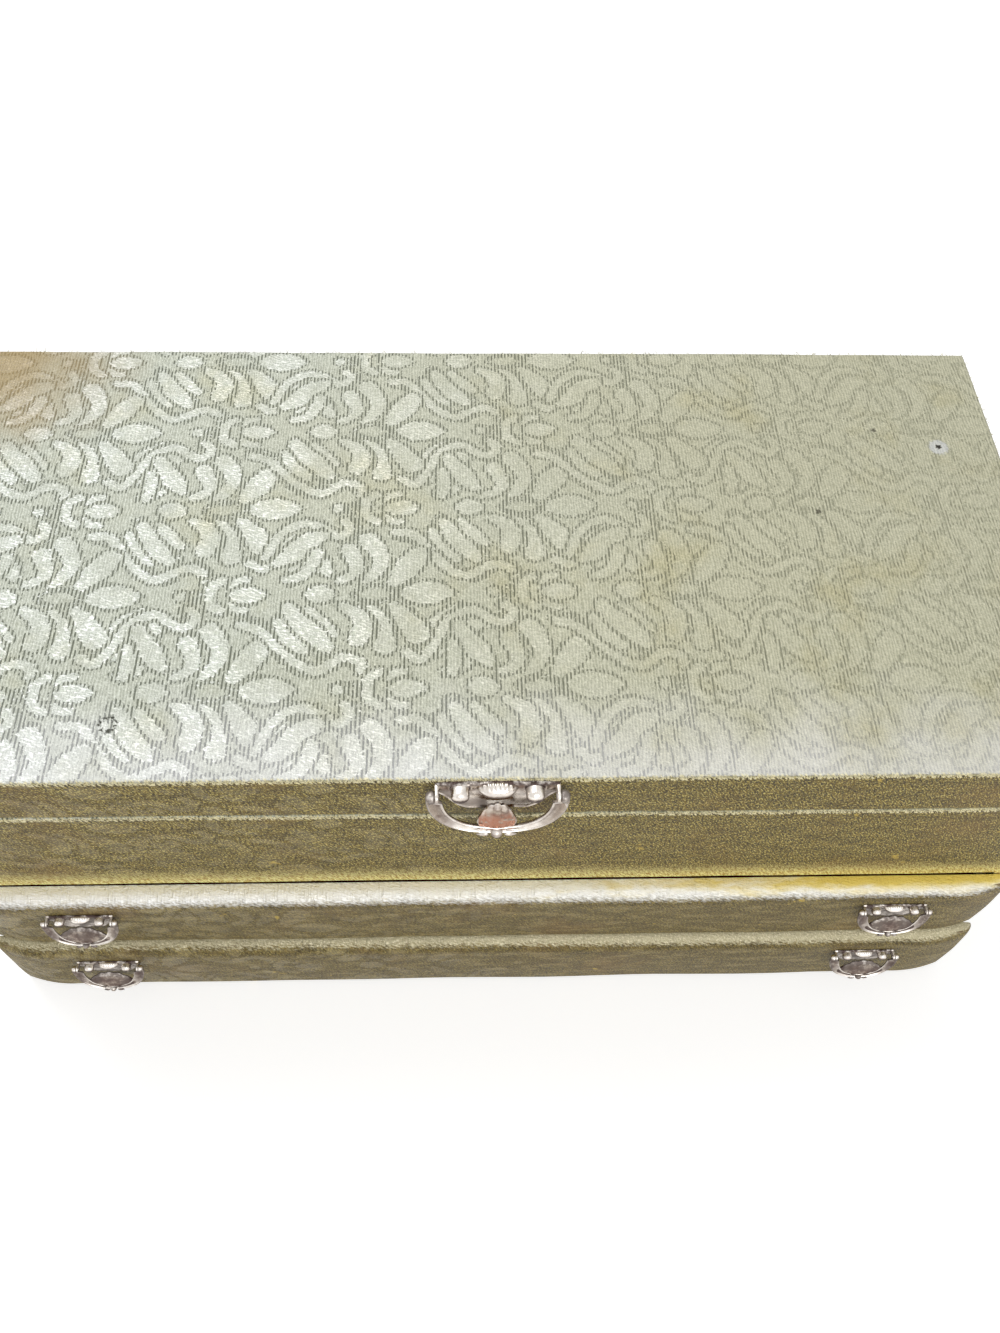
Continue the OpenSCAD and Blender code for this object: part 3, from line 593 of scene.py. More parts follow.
def new_material(name, **sockets):
    """A material and its nodes; sockets are values of the Principled BSDF, underscores for spaces."""
    material = bpy.data.materials.new(name)
    material.use_nodes = True
    nodes = Nodes(material.node_tree)
    surface = material.node_tree.nodes["Principled BSDF"]
    for socket, value in sockets.items():
        nodes.feed(surface.inputs[socket.replace("_", " ")], value)
    return material, nodes, surface


def finish_surface(nodes, surface, base, roughness, metallic, height=None, depth=0.1):
    """Feeds the surface its colour and roughness, and its normal from a height that is depth mm tall."""
    nodes.feed(surface.inputs["Base Color"], base)
    nodes.feed(surface.inputs["Roughness"], roughness)
    nodes.feed(surface.inputs["Metallic"], metallic)
    if height is not None:
        bump = nodes.add("Bump", {"Height": height, "Distance": depth * MM, "Strength": 1.0})
        nodes.feed(surface.inputs["Normal"], bump.outputs[0])


# ---- finishes ----

# Places on the cloth, in mm from the middle of the lid: across, and along, which falls from back to front
# and on down the front.
PUNCTURE, BURN_RING, STAIN = (132.2, 33.9), (-94.3, -58.3), (-152.0, 70.0)
PIN_MARKS = ((91.9, 8.9), (114.2, 40.8))
DRAWERS_FROM, LOWER_DRAWER_FROM = (-110.0, -130.0), (-162.0, -176.0)


def brocade(name, near_glare, marked=False):
    """Gold brocade with painted light and shade: pale and silvery where it faces up, as if lit,
    dark olive where it faces out, as if shaded, with flecks of lame.
    near_glare is how strong a painted glare grows towards the cloth's front edge."""
    material, nodes, surface = new_material(name, Specular_IOR_Level=0.5, Anisotropic=0.35)
    cloth = nodes.vector("cloth")
    side, along = nodes.split(cloth)
    threads = nodes.place(THREADS, Cloth=cloth)
    lame = nodes.place(THREADS, Cloth=cloth, Askew=1.05, Fineness=0.82, Fleck_Start=0.5)
    satin = nodes.cloud(nodes.stretch(cloth, (0.1, 0.3, 1.0)), 1.0, 3.0, 0.6)
    drawers = nodes.step(along, *DRAWERS_FROM)
    lower = nodes.step(along, *LOWER_DRAWER_FROM)
    ledge = nodes.math("SUBTRACT", drawers, lower)

    figure = nodes.place(FIGURE, Cloth=cloth, Distance=nodes.value("figure"))
    # Painted sheen: the figure and its stitches stand out most at the left and fade towards the right, where
    # less light catches the satin, in patches.
    patchy = nodes.step(nodes.cloud(cloth, 0.075, 2.0), 0.34, 0.66, 0.3, 1.3)
    figure_sheen = nodes.times(nodes.step(side, 70.0, -90.0, 0.1, 1.0), patchy)
    inside = nodes.times(figure["Inside"], figure_sheen)
    stitches = nodes.times(figure["Stitches"], nodes.step(side, 160.0, -40.0, 0.5, 1.0))

    # Painted light and shade: how far the lit top colour replaces the shaded front colour, by facing_up,
    # streaked by the floats, and more narrowly on the lower drawer.
    streaked = nodes.plus(nodes.value("facing_up"), nodes.times(threads["Floats"], 0.22))
    streaked = nodes.plus(streaked, nodes.times(drawers, 0.09))
    narrow = nodes.step(nodes.plus(streaked, nodes.step(side, -150.0, 150.0, -0.08, 0.14)), 0.78, 1.12)
    up = nodes.math("MINIMUM", nodes.step(streaked, 0.45, 1.08),
                    nodes.math("SUBTRACT", nodes.plus(narrow, 1.0), lower))

    # The lit copy of the cloth: painted pale and silvery, as light falls on faces that look up.
    ground = nodes.mix(threads["Warp"], "afb3a4", "cdd1c3")
    raised = nodes.mix(threads["Floats"], "b4bcb0", "fdfffa")
    top = nodes.tint(ground, raised, inside, 0.72)
    top = nodes.tint(top, "f2f6ec", lame["Flecks"], 0.5)
    top = nodes.tint(top, "656b5c", stitches, 0.95)
    top = nodes.tint(top, "8f9184", nodes.step(nodes.cloud(cloth, 3.2, 1.0), 0.3, 0.7, 0.0, 0.2))
    # Painted shade: the top turns warmer and a little darker towards the right, away from the light.
    gold = nodes.step(nodes.plus(side, nodes.times(nodes.cloud(cloth, 0.02, 3.0), 120.0)), -60.0, 150.0)
    top = nodes.tint(top, "f8f1e0", gold, blend="MULTIPLY")
    top = nodes.tint(top, "f3eac8", nodes.blotches(cloth, 0.03, 0.5, 0.25), 0.5, "MULTIPLY")
    # Painted glare: the top is screened pale towards its front edge, raggedly.
    uneven = nodes.plus(along, nodes.times(nodes.cloud(cloth, 0.06, 3.0), 34.0))
    top = nodes.tint(top, "f1effa", nodes.step(uneven, -26.0, -66.0, 0.0, near_glare), blend="SCREEN")
    # Painted highlight: the upper drawer's ledge is screened almost white; the lower drawer's ledge gets a
    # dimmer gold instead, as painted shade.
    top = nodes.tint(top, "fffdf4", ledge, blend="SCREEN")
    top = nodes.tint(top, nodes.tint("c6bd9a", "fff6da", lame["Flecks"], 0.6), lower)

    # The shaded copy of the cloth: painted dark olive, as faces that look out get little light.
    deepest = nodes.mix(drawers, "30240b", "453917")
    strand = nodes.mix(drawers, "75601a", "7a6732")
    front = nodes.mix(lame["Floats"], deepest, strand)
    front = nodes.tint(front, "ab9e72", inside, 0.16)
    front = nodes.tint(front, "483d1f", stitches, 0.3)
    flecked = nodes.times(lame["Flecks"], nodes.step(along, *DRAWERS_FROM, 0.8, 0.34))
    front = nodes.tint(front, "e3d27e", flecked)
    front = nodes.tint(front, "7d5c2c", nodes.blotches(cloth, 0.022, 0.5, 0.2), 0.4)
    front = nodes.tint(front, "2f2410", nodes.step(satin, 0.36, 0.6, 0.34, 0.0))
    shine = nodes.times(nodes.step(satin, 0.5, 0.68), nodes.step(along, *DRAWERS_FROM, 0.05, 0.26))
    front = nodes.tint(front, "a89c72", shine)
    front = nodes.tint(front, "c9ac4a", nodes.blotches(cloth, 0.11, 0.66, 0.05), 0.7)
    # Painted reflected light: a bright yellow glow just above a lower edge of the front.
    glow_gold = nodes.mix(lame["Floats"], "b8902e", "fff8a8")
    glow_gold = nodes.tint(glow_gold, "fffad0", lame["Flecks"], 0.7)
    front = nodes.tint(front, glow_gold, nodes.value("painted_glow"))

    # Painted light and shade: lit top colour where the cloth faces up, shaded front colour where it faces
    # out.
    base = nodes.mix(up, front, top)
    base = nodes.tint(base, "f3eabf", worn_line(nodes, along, lame["Floats"]), 0.8)
    base = nodes.tint(base, "ecd56e", nodes.times(gilt_border(nodes, side, along, satin), ledge))
    if marked:
        base = marks_of_age(nodes, cloth, base)
    height = nodes.plus(nodes.times(figure["Inside"], 0.3), nodes.times(threads["Warp"], 0.3))
    height = nodes.plus(height, nodes.times(threads["Floats"], 0.6))
    height = nodes.math("SUBTRACT", height, nodes.times(stitches, 0.7))
    finish_surface(nodes, surface, base, nodes.step(inside, 0.0, 1.0, 0.56, 0.42), 0.35, height, 0.16)
    return material


def worn_line(nodes, along, floats):
    """The lid's front edge, rubbed to a pale line with ragged sides."""
    worn = nodes.plus(along, nodes.step(floats, 0.0, 1.0, -0.7, 0.7))
    return nodes.times(nodes.step(worn, -73.6, -74.3), nodes.step(worn, -75.3, -74.6))


def gilt_border(nodes, side, along, satin):
    """Yellow on the upper drawer's ledge next to the gap, most of all at its right end."""
    depth = nodes.step(nodes.plus(along, nodes.times(satin, 6.0)), -147.0, -142.6)
    return nodes.times(depth, nodes.step(nodes.plus(side, nodes.times(satin, 160.0)), 90.0, 190.0, 0.15, 1.0))


def marks_of_age(nodes, cloth, base):
    """The lid's puncture, burn ring, pin marks and the stain in its back left corner."""
    puncture = nodes.place(MARK, Cloth=cloth, Centre=(*PUNCTURE, 0.0), Inner=0.8, Outer=2.8)
    base = nodes.tint(base, "d9dbe0", puncture["Ring"], 0.55)
    base = nodes.tint(base, "25211a", puncture["Spot"])
    burn = nodes.place(MARK, Cloth=cloth, Centre=(*BURN_RING, 0.0), Inner=1.5, Outer=2.4)
    broken = nodes.step(nodes.cloud(cloth, 0.9, 1.0), 0.42, 0.56)
    base = nodes.tint(base, "3d3e33", nodes.times(burn["Ring"], broken))
    for place in PIN_MARKS:
        pin = nodes.place(MARK, Cloth=cloth, Centre=(*place, 0.0), Inner=0.7, Outer=0.9)
        base = nodes.tint(base, "3a3524", pin["Spot"], 0.8)
    away = nodes.plus(nodes.distance(cloth, (*STAIN, 0.0)), nodes.times(nodes.cloud(cloth, 0.05, 3.0), 46.0))
    return nodes.tint(base, "a38a58", nodes.step(away, 78.0, 28.0), 0.8)


def velvet(name):
    """Wine-red velvet with patches where the pile lies the other way."""
    material, nodes, surface = new_material(name, Sheen_Weight=0.7, Sheen_Roughness=0.35, Sheen_Tint="d86a78",
                                            Specular_IOR_Level=0.2)
    place = nodes.own_place()
    pile = nodes.cloud(place, 2600.0, 2.0)
    stroked = nodes.cloud(nodes.stretch(place, (18.0, 30.0, 18.0)), 1.0, 3.0, 0.6)
    base = nodes.mix(nodes.step(stroked, 0.4, 0.62), "5a0c1c", "82192c")
    base = nodes.tint(base, "3a0610", nodes.step(pile, 0.3, 0.7, 0.0, 0.5))
    finish_surface(nodes, surface, base, nodes.step(pile, 0.2, 0.8, 0.8, 0.95), 0.0, pile, 0.2)
    return material


def chipboard(name):
    """Grey-brown millboard with fibres and darker specks."""
    material, nodes, surface = new_material(name, Specular_IOR_Level=0.25)
    place = nodes.own_place()
    fibres = nodes.cloud(nodes.stretch(place, (240.0, 900.0, 900.0)), 1.0, 4.0, 0.65)
    base = nodes.mix(fibres, "77684f", "a79372")
    base = nodes.tint(base, "4a3f30", nodes.blotches(place, 700.0, 0.66, 0.03), 0.6)
    finish_surface(nodes, surface, base, nodes.step(fibres, 0.2, 0.8, 0.75, 0.92), 0.0, fibres, 0.15)
    return material


def gilt_paper(name):
    """Matt gold paper over board, creased and rubbed."""
    material, nodes, surface = new_material(name, Specular_IOR_Level=0.4)
    place = nodes.own_place()
    wear = nodes.place(WEAR, Place=place, Scale=90.0)
    grain = nodes.cloud(place, 1500.0, 3.0)
    creases = nodes.add("TexVoronoi", {"Vector": place, "Scale": 55.0}, feature="DISTANCE_TO_EDGE").outputs[0]
    crease = nodes.step(creases, 0.012, 0.0)
    base = nodes.mix(wear["Cloud"], "8f7436", "b79a55")
    base = nodes.tint(base, "d6c48e", crease, 0.35)
    base = nodes.tint(base, "d8c9a0", wear["Rubbed"], 0.6)
    height = nodes.plus(grain, nodes.times(crease, 1.5))
    finish_surface(nodes, surface, base, nodes.step(grain, 0.2, 0.8, 0.42, 0.6), 0.35, height, 0.06)
    return material


def brass(name):
    """Thin pressed brass, brushed one way, bright on its edges and brown in its hollows."""
    material, nodes, surface = new_material(name)
    place = nodes.own_place()
    wear = nodes.place(WEAR, Place=place, Scale=260.0)
    brushed = nodes.cloud(nodes.stretch(place, (400.0, 400.0, 5000.0)), 1.0, 2.0)
    base = nodes.mix(wear["Cloud"], "8a6c2c", "c9a655")
    base = nodes.tint(base, "ecd591", wear["Rubbed"])
    base = nodes.tint(base, "4c3a1c", wear["Hollow"])
    roughness = nodes.step(nodes.plus(brushed, wear["Hollow"]), 0.2, 1.2, 0.24, 0.5)
    finish_surface(nodes, surface, base, roughness, 1.0, brushed, 0.01)
    return material


def pull_metal(name):
    """Cast nickel gone pinkish brown: bright where fingers rub it and where a highlight is painted on its
    upward faces, copper where it has no plating left, dark brown with grime in its hollows and painted shade
    below."""
    material, nodes, surface = new_material(name)
    place = nodes.own_place()
    wear = nodes.place(WEAR, Place=place, Scale=420.0)
    pits = nodes.cloud(place, 2400.0, 2.0)
    tarnish = nodes.blotches(place, 260.0, 0.42, 0.2)
    base = nodes.mix(tarnish, "b3a494", "7d685b")
    bare = nodes.times(nodes.value("copper"), nodes.step(wear["Cloud"], 0.36, 0.5))
    base = nodes.tint(base, "b07a60", bare)
    # Painted highlight on faces that look up and where the paint says bright, together with the really rubbed
    # edges.
    lit_and_rubbed = nodes.larger(nodes.step(nodes.value("facing_up"), 0.1, 0.85), nodes.value("bright"))
    lit_and_rubbed = nodes.times(lit_and_rubbed, nodes.step(wear["Cloud"], 0.25, 0.6, 1.0, 0.55))
    base = nodes.tint(base, "fbf6ef", nodes.larger(lit_and_rubbed, nodes.times(wear["Rubbed"], 0.4)))
    # Painted shade on faces that look down, together with the dark patina of the hollows.
    below = nodes.step(nodes.value("facing_up"), 0.0, -0.7, 0.0, 0.8)
    base = nodes.tint(base, "463229", nodes.larger(below, wear["Hollow"]))
    # The paint's grime and painted shade, broken up by the cloud.
    grime_and_shade = nodes.times(nodes.value("grime_and_shade"), nodes.step(wear["Cloud"], 0.36, 0.56, 0.4, 1.0))
    base = nodes.tint(base, "42302a", grime_and_shade)
    roughness = nodes.step(nodes.plus(nodes.plus(tarnish, pits), grime_and_shade), 0.3, 1.8, 0.16, 0.5)
    finish_surface(nodes, surface, base, roughness, nodes.step(grime_and_shade, 0.0, 1.0, 1.0, 0.4), pits, 0.02)
    return material


def mirror_glass(name):
    """Silvered glass, clear in the middle and foxed towards its edge."""
    material, nodes, surface = new_material(name, Specular_IOR_Level=0.6)
    place = nodes.own_place()
    across, deep = (nodes.math("ABSOLUTE", axis) for axis in nodes.split(place))
    near_edge = nodes.larger(nodes.step(across, 0.095, 0.122), nodes.step(deep, 0.03, 0.05))
    foxing = nodes.times(nodes.blotches(place, 190.0, 0.6, 0.12), near_edge)
    haze = nodes.step(nodes.cloud(place, 30.0, 4.0), 0.4, 0.8, 0.015, 0.06)
    base = nodes.tint("e9edec", "6d655a", foxing, 0.8)
    finish_surface(nodes, surface, base, nodes.plus(haze, nodes.times(foxing, 0.3)), 1.0)
    return material


def gold_braid(name):
    """Gold thread laid in fine turns."""
    material, nodes, surface = new_material(name)
    place = nodes.own_place()
    turns = nodes.cloud(nodes.stretch(place, (3000.0, 3000.0, 900.0)), 1.0, 1.0)
    base = nodes.mix(turns, "8e6d24", "e0c06a")
    base = nodes.tint(base, "7a6537", nodes.step(nodes.cloud(place, 60.0, 3.0), 0.45, 0.7, 0.0, 0.5))
    finish_surface(nodes, surface, base, nodes.step(turns, 0.2, 0.8, 0.5, 0.3), 0.75, turns, 0.08)
    return material


lid_brocade = brocade("lid_brocade", 0.42, marked=True)
case_brocade = brocade("case_brocade", 0.0)
wine_velvet = velvet("wine_velvet")
millboard = chipboard("millboard")
gold_paper = gilt_paper("gold_paper")
pressed_brass = brass("pressed_brass")
old_nickel = pull_metal("old_nickel")
silvered_glass = mirror_glass("silvered_glass")
gold_thread = gold_braid("gold_thread")


# ---- brocade over the lid and the case ----

# Rounding of the cloth's edges and the steps of its grid; LINTEL_DROP is how far the case's cloth laps over
# the top of the drawers' opening.
LID_EDGE_R, CASE_EDGE_R = 1.1, 0.5
LID_STEP, CASE_STEP = (0.6, 0.6, 1.2), (1.25, 1.25, 1.25)
LINTEL_DROP = 0.2
RUMPLE, RUMPLE_SIZE = 0.16, 22.0
FRONT_FROM_Y = -70


def wrapped_cloth(sharp, low, high):
    """Places on the cloth: it lies flat on top and falls over the edges in one piece with it."""
    x, y, z = sharp.T
    fall = high[2] - z
    cloth = np.column_stack([x, y])
    front, back = y <= low[1] + 1e-6, y >= high[1] - 1e-6
    ends = (abs(x) >= high[0] - 1e-6) & ~front & ~back
    cloth[front, 1] = low[1] - fall[front]
    cloth[back, 1] = high[1] + fall[back]
    cloth[ends, 0] += np.sign(x[ends]) * fall[ends]
    return cloth


def rumple(points, seed):
    """Moves points by a smooth cloud, as cloth that is glued down unevenly."""
    shift = Vector((seed, 0, 0))
    return [Vector(p) + noise.noise_vector(Vector(p) / RUMPLE_SIZE + shift) * RUMPLE for p in points]


def edge_glow(points, level, reach):
    """1 at a level on the front, falling to 0 over reach above it: where a glow of light reflected up from
    below is painted on.
    """
    rise = np.clip(1 - (points[:, 2] - level) / reach, 0, 1)
    return np.where(points[:, 1] < FRONT_FROM_Y, rise ** 1.2, 0.0)


def lid_cloth():
    inner_low, inner_high = box_mm("lid_lining")

    def keep(axis, side, middle):
        """Leaves out the underside where the lining lies."""
        lined = all(inner_low[i] < middle[i] < inner_high[i] for i in (0, 1))
        return not (axis == 2 and side == 0 and lined)

    marks = ((inner_low[0], inner_high[0]), (inner_low[1], inner_high[1]), ())
    sharp, points, faces = box_skin(lid_low, lid_high, LID_EDGE_R, LID_STEP, marks, keep)
    obj = make_object("lid_brocade_cover", rumple(points, 3.0), faces)
    weave(obj, wrapped_cloth(sharp, lid_low, lid_high), edge_glow(points, lid_low[2], 1.2) * 0.25)
    dress(obj, "lid", lid_brocade, "brocade", "lid_cover")


def case_cloth():
    inner_x, inner_y = tray_high[:2]
    windows = ((bottom_high[2], shelf_low[2]), (shelf_high[2], deck_low[2] - LINTEL_DROP))

    def keep(axis, side, middle):
        """Leaves out the underside, the tray's opening and the drawers' openings."""
        x, y, z = middle
        if axis == 2:
            return bool(side) and not (abs(x) < inner_x and abs(y) < inner_y)
        if axis == 1 and side == 0:
            return not (abs(x) < inner_x and any(a < z < b for a, b in windows))
        return True

    marks = ((-inner_x, inner_x), (-inner_y, inner_y), [z for pair in windows for z in pair])
    sharp, points, faces = box_skin(case_low, case_high, CASE_EDGE_R, CASE_STEP, marks, keep)
    obj = make_object("case_brocade_cover", rumple(points, 8.0), faces)
    weave(obj, wrapped_cloth(sharp, case_low, case_high), edge_glow(points, deck_low[2], 9.0))
    dress(obj, "case", case_brocade, "brocade", "case_cover")


lid_cloth()
case_cloth()


# ---- padded drawer fronts ----

# A front's ends curve back by FRONT_END_D over FRONT_END_W; its face swells by CROWN and PUFF, but is pressed
# in by PULL_PRESS, over about PRESS_W to either side, where a pull holds it.
FRONT_END_W, FRONT_END_D = 17.0, 3.5
FRONT_TOP_R, FRONT_BOTTOM_R = 4.5, 2.5
FRONT_STEP, CROWN, PUFF = 0.9, 0.35, 0.3
PULL_PRESS, PRESS_W = 0.1, 12.5


def dent(away, width):
    """A smooth hump, 1 where away is nothing."""
    return math.exp(-(away / width) ** 2)


def front_profile(depth, height):
    """Round top edge, face and round bottom edge of a padded front: (out, up), from back to back.
    The cloth turns a narrow rim over behind, and lies lower inside it, where the board's back shows."""
    top = [(depth - FRONT_TOP_R * (1 - math.sin(a)), height - FRONT_TOP_R * (1 - math.cos(a)))
           for a in (math.pi / 2 * i / 9 for i in range(10))]
    foot = [(depth - FRONT_BOTTOM_R * (1 - math.cos(a)), FRONT_BOTTOM_R * (1 - math.sin(a)))
            for a in (math.pi / 2 * i / 6 for i in range(7))]
    face_top, face_foot = top[-1][1], foot[0][1]
    face = [(depth, face_top + (face_foot - face_top) * i / 22) for i in range(1, 22)]
    inner, rim = 0.35, 0.6
    head = [(inner, height - rim - 0.4), (0.0, height - rim), (0.0, height), (0.8, height)]
    return head + top + face + foot + [(0.6, 0.0), (0.0, 0.0), (0.0, rim), (inner, rim + 0.4)]


def front_set_back(x, half):
    """How far the front's end curves back at x."""
    into_end = max(0.0, abs(x) - (half - FRONT_END_W))
    return FRONT_END_D * (into_end / FRONT_END_W) ** 2


def padded_front(level, seed):
    low, high = box_mm(level + "_front_cover")
    depth, height, half = high[1] - low[1], high[2] - low[2], (high[0] - low[0]) / 2
    profile = front_profile(depth, height)
    columns = np.linspace(-half, half, round(2 * half / FRONT_STEP) + 1)
    pull_x = [sum(corner[0] for corner in box_mm(f"{level}_bail_{side}")) / 2 for side in ("left", "right")]
    run = np.cumsum([0.0] + [math.dist(a, b) for a, b in zip(profile, profile[1:])])
    points, cloth = [], []
    for x in columns:
        squeeze = 1 - front_set_back(x, half) / depth
        pinch = max(0.0, abs(x) - half + 1.2) / 1.2
        pressed = max(min(1.0, 2.4 * dent(x - middle, PRESS_W)) for middle in pull_x)
        for (out, up), along in zip(profile, run):
            crown = CROWN * math.sin(math.pi * up / height) if out > 0 else 0.0
            puff = PUFF * noise.noise(Vector((x / 34.0, up / 15.0, seed)))
            swell = (crown - puff) * (1 - pressed) - PULL_PRESS * pressed
            y = high[1] - out * squeeze * (1 - 0.25 * pinch) - swell * min(1.0, out / depth) ** 2
            z = low[2] + height / 2 + (up - height / 2) * (1 - 0.05 * pinch)
            points.append((x, y, z))
            cloth.append((x, low[1] - (lid_high[2] - high[2]) - along))
    rows, count = len(columns), len(profile)
    faces = [tuple(reversed(f)) for f in grid_faces(rows, count)]
    faces += [tuple(range(count)), tuple(reversed(range((rows - 1) * count, rows * count)))]
    back = [(r * count + count - 1, (r + 1) * count + count - 1, (r + 1) * count, r * count)
            for r in range(rows - 1)]
    obj = make_object(level + "_padded_front", points, faces + [tuple(reversed(f)) for f in back])
    tidy_normals(obj, 60)
    weave(obj, np.array(cloth))
    dress(obj, level + "_drawer", case_brocade, "brocade", level + "_front_cover")


padded_front("upper", 5.0)
padded_front("lower", 9.0)


# ---- bail pulls ----

# A pull is worked out at the lid's size from the middle of its pivot line: X across, Y out, Z up.
BAIL_W, BAIL_DROP = 34.7, 16.4
BAIL_BOTTOM_W, BAIL_T, BAIL_NECK = 2.6, 1.5, 1.9
LUG_R, PIN_R = 1.6, 0.75
EAR_X, EAR_T, PIVOT_OUT = 14.6, 0.9, 3.0
PLATE_HALF, PLATE_T, PLATE_RISE = 15.05, 0.6, 2.4
POST_X, POST_R, POST_LEN, POST_ROUND = 9.0, 2.25, 3.4, 1.5
BOSS_HALF, BOSS_R, BOSS_BULGE = 5.1, 2.1, 1.5
BEAD_R, FAN_TOP = 1.55, -2.9
PLATE_FOOT = ((0.0, -11.6), (2.2, -11.0), (3.6, -10.6), (5.4, -11.0), (7.6, -10.9), (9.6, -9.4), (11.2, -7.0),
              (12.8, -4.4), (15.05, -1.9))


def between(pairs, x):
    return float(np.interp(x, [p[0] for p in pairs], [p[1] for p in pairs]))


def pull_plate_form():
    """Stamped back plate with a beaded rim, collars round the posts and two ears, and a fluted shell boss."""
    form = Form()
    columns, rows = 96, 22
    front, back = [], []
    for r in range(rows + 1):
        v = r / rows
        front.append([])
        back.append([])
        for c in range(columns + 1):
            x = PLATE_HALF * (2 * c / columns - 1)
            head = PLATE_RISE - 0.5 * (abs(x) / PLATE_HALF) ** 6
            foot = between(PLATE_FOOT, abs(x))
            z = head + (foot - head) * v
            edge = min(min(v, 1 - v) * (head - foot), PLATE_HALF - abs(x))
            bead = 0.2 * dent(edge - 0.55, 0.3) - 0.3 * dent(edge, 0.16)
            post = math.hypot(abs(x) - POST_X, z)
            collar = 0.25 * dent(post - POST_R - 0.5, 0.35)
            ray = 0.1 * math.cos(7 * math.atan2(z + 1.0, abs(x) - POST_X)) * dent(post - 4.2, 1.2)
            pendant = 0.5 * dent(x, 2.6) * dent(z + 5.4, 2.2)
            front[-1].append((x, PLATE_T + bead + collar + ray + pendant, z))
            back[-1].append((x, 0.0, z))
    closed_patch(form, front, back)
    # Grime and painted shade along the plate's top edge; rubbing and a painted highlight over its lower half.
    form.paint = [some(GRIME_AND_SHADE, (z - 1.2) * 2) if z > 0 else some(BRIGHT, min(0.5, -z / 4))
                  for _, _, z in form.points]
    for side in (-1, 1):
        add_ear(form, side)
        # The post collars carry grime and painted shade.
        lathe(form, [(PLATE_T, 0.0), (PLATE_T, POST_R + 0.35), (PLATE_T + 0.45, POST_R + 0.2),
                     (PLATE_T + 0.6, POST_R), (PLATE_T + 0.6, 0.0)],
              (side * POST_X, 0.0, 0.0), (0, 1, 0), 28, paint=GRIME_AND_SHADE)
    add_shell_boss(form)
    return form


def add_ear(form, side):
    """An upright tab with the bail's pivot bore."""
    steps = 36
    outline = []
    for i in range(steps):
        t = 2 * math.pi * i / steps
        out, up = math.cos(t), math.sin(t)
        reach = LUG_R if out >= 0 else min(LUG_R / max(abs(up), 1e-6), (PIVOT_OUT - 0.2) / abs(out))
        outline.append((reach, out, up))
    inner, outer = EAR_X - EAR_T / 2, EAR_X + EAR_T / 2
    bore, shave = PIN_R + 0.06, 0.18
    rings = [(inner, bore + 0.12, None), (inner, None, shave), (inner + shave, None, 0.0),
             (outer - shave, None, 0.0), (outer, None, shave), (outer, bore + 0.12, None),
             (outer - 0.12, bore, None), (inner + 0.12, bore, None)]
    points, faces = [], []
    for x, radius, cut in rings:
        for reach, out, up in outline:
            r = radius or reach - cut
            points.append((side * x, PIVOT_OUT + out * r, up * r))
    for k in range(len(rings)):
        a, b = k * steps, ((k + 1) % len(rings)) * steps
        faces += [(a + i, a + (i + 1) % steps, b + (i + 1) % steps, b + i) for i in range(steps)]
    form.add(points, faces)


def add_shell_boss(form):
    """A shell on the plate: a spindle fluted across, with a scalloped back rim, a painted highlight on top
    and grime and painted shade on its belly.
    """
    columns, around = 72, 18
    rows = []
    for c in range(columns + 1):
        t = 2 * c / columns - 1
        flute = 0.5 + 0.5 * math.cos(2 * math.pi * 4.5 * t)
        radius = BOSS_R * (1 - abs(t) ** 3) + 0.05
        row = []
        for a in range(around + 1):
            turn = math.pi * a / around
            scallop = flute * dent(turn - 0.3, 0.45)
            belly = 0.9 + 0.1 * math.cos(2 * turn)
            out = radius * BOSS_BULGE * belly * math.sin(turn) * (1 - 0.12 * scallop)
            row.append((BOSS_HALF * t, PLATE_T + out, radius * (1 + 0.2 * scallop) * math.cos(turn)))
        rows.append(row)
    floor = [[(p[0], 0.1, p[2] * 0.9) for p in row] for row in rows]
    first = len(form.points)
    closed_patch(form, rows, floor)
    for i in range(first, len(form.points)):
        rise = form.points[i][2] / BOSS_R
        form.paint[i] = some(BRIGHT, rise * 5) if rise > 0 else some(GRIME_AND_SHADE, -rise * 2.5)


def post_form():
    """Two domed post rivets, with a painted highlight on top and grime and painted shade round their ends."""
    form = Form()
    tip = PLATE_T + POST_LEN
    head = [(tip + 0.3 - POST_ROUND * (1 - math.sin(a)), POST_R - POST_ROUND * (1 - math.cos(a)))
            for a in (math.pi / 2 * i / 8 for i in range(9))]
    profile = [(0.3, 0.0), (0.3, POST_R)] + head + [(tip + 0.32, 0.0)]
    for place in (-POST_X, POST_X):
        lathe(form, profile, (place, 0.0, 0.0), (0, 1, 0), 40)
    for i, (_, out, up) in enumerate(form.points):
        into_head = max(0.0, out - tip + POST_ROUND) / POST_ROUND
        rise = up / POST_R
        form.paint[i] = some(BRIGHT, rise * 4 - 0.8) if rise > 0.2 else some(GRIME_AND_SHADE, 1.6 * into_head - rise)
    return form


def u_point(turn, width, drop):
    """A point of the bail's outline: turn runs from 0 at the right ear to pi at the left one."""
    c, s = math.cos(turn), math.sin(turn)
    return (width / 2 * math.copysign(abs(c) ** 0.75, c), -drop * max(s, 0.0) ** 0.85)


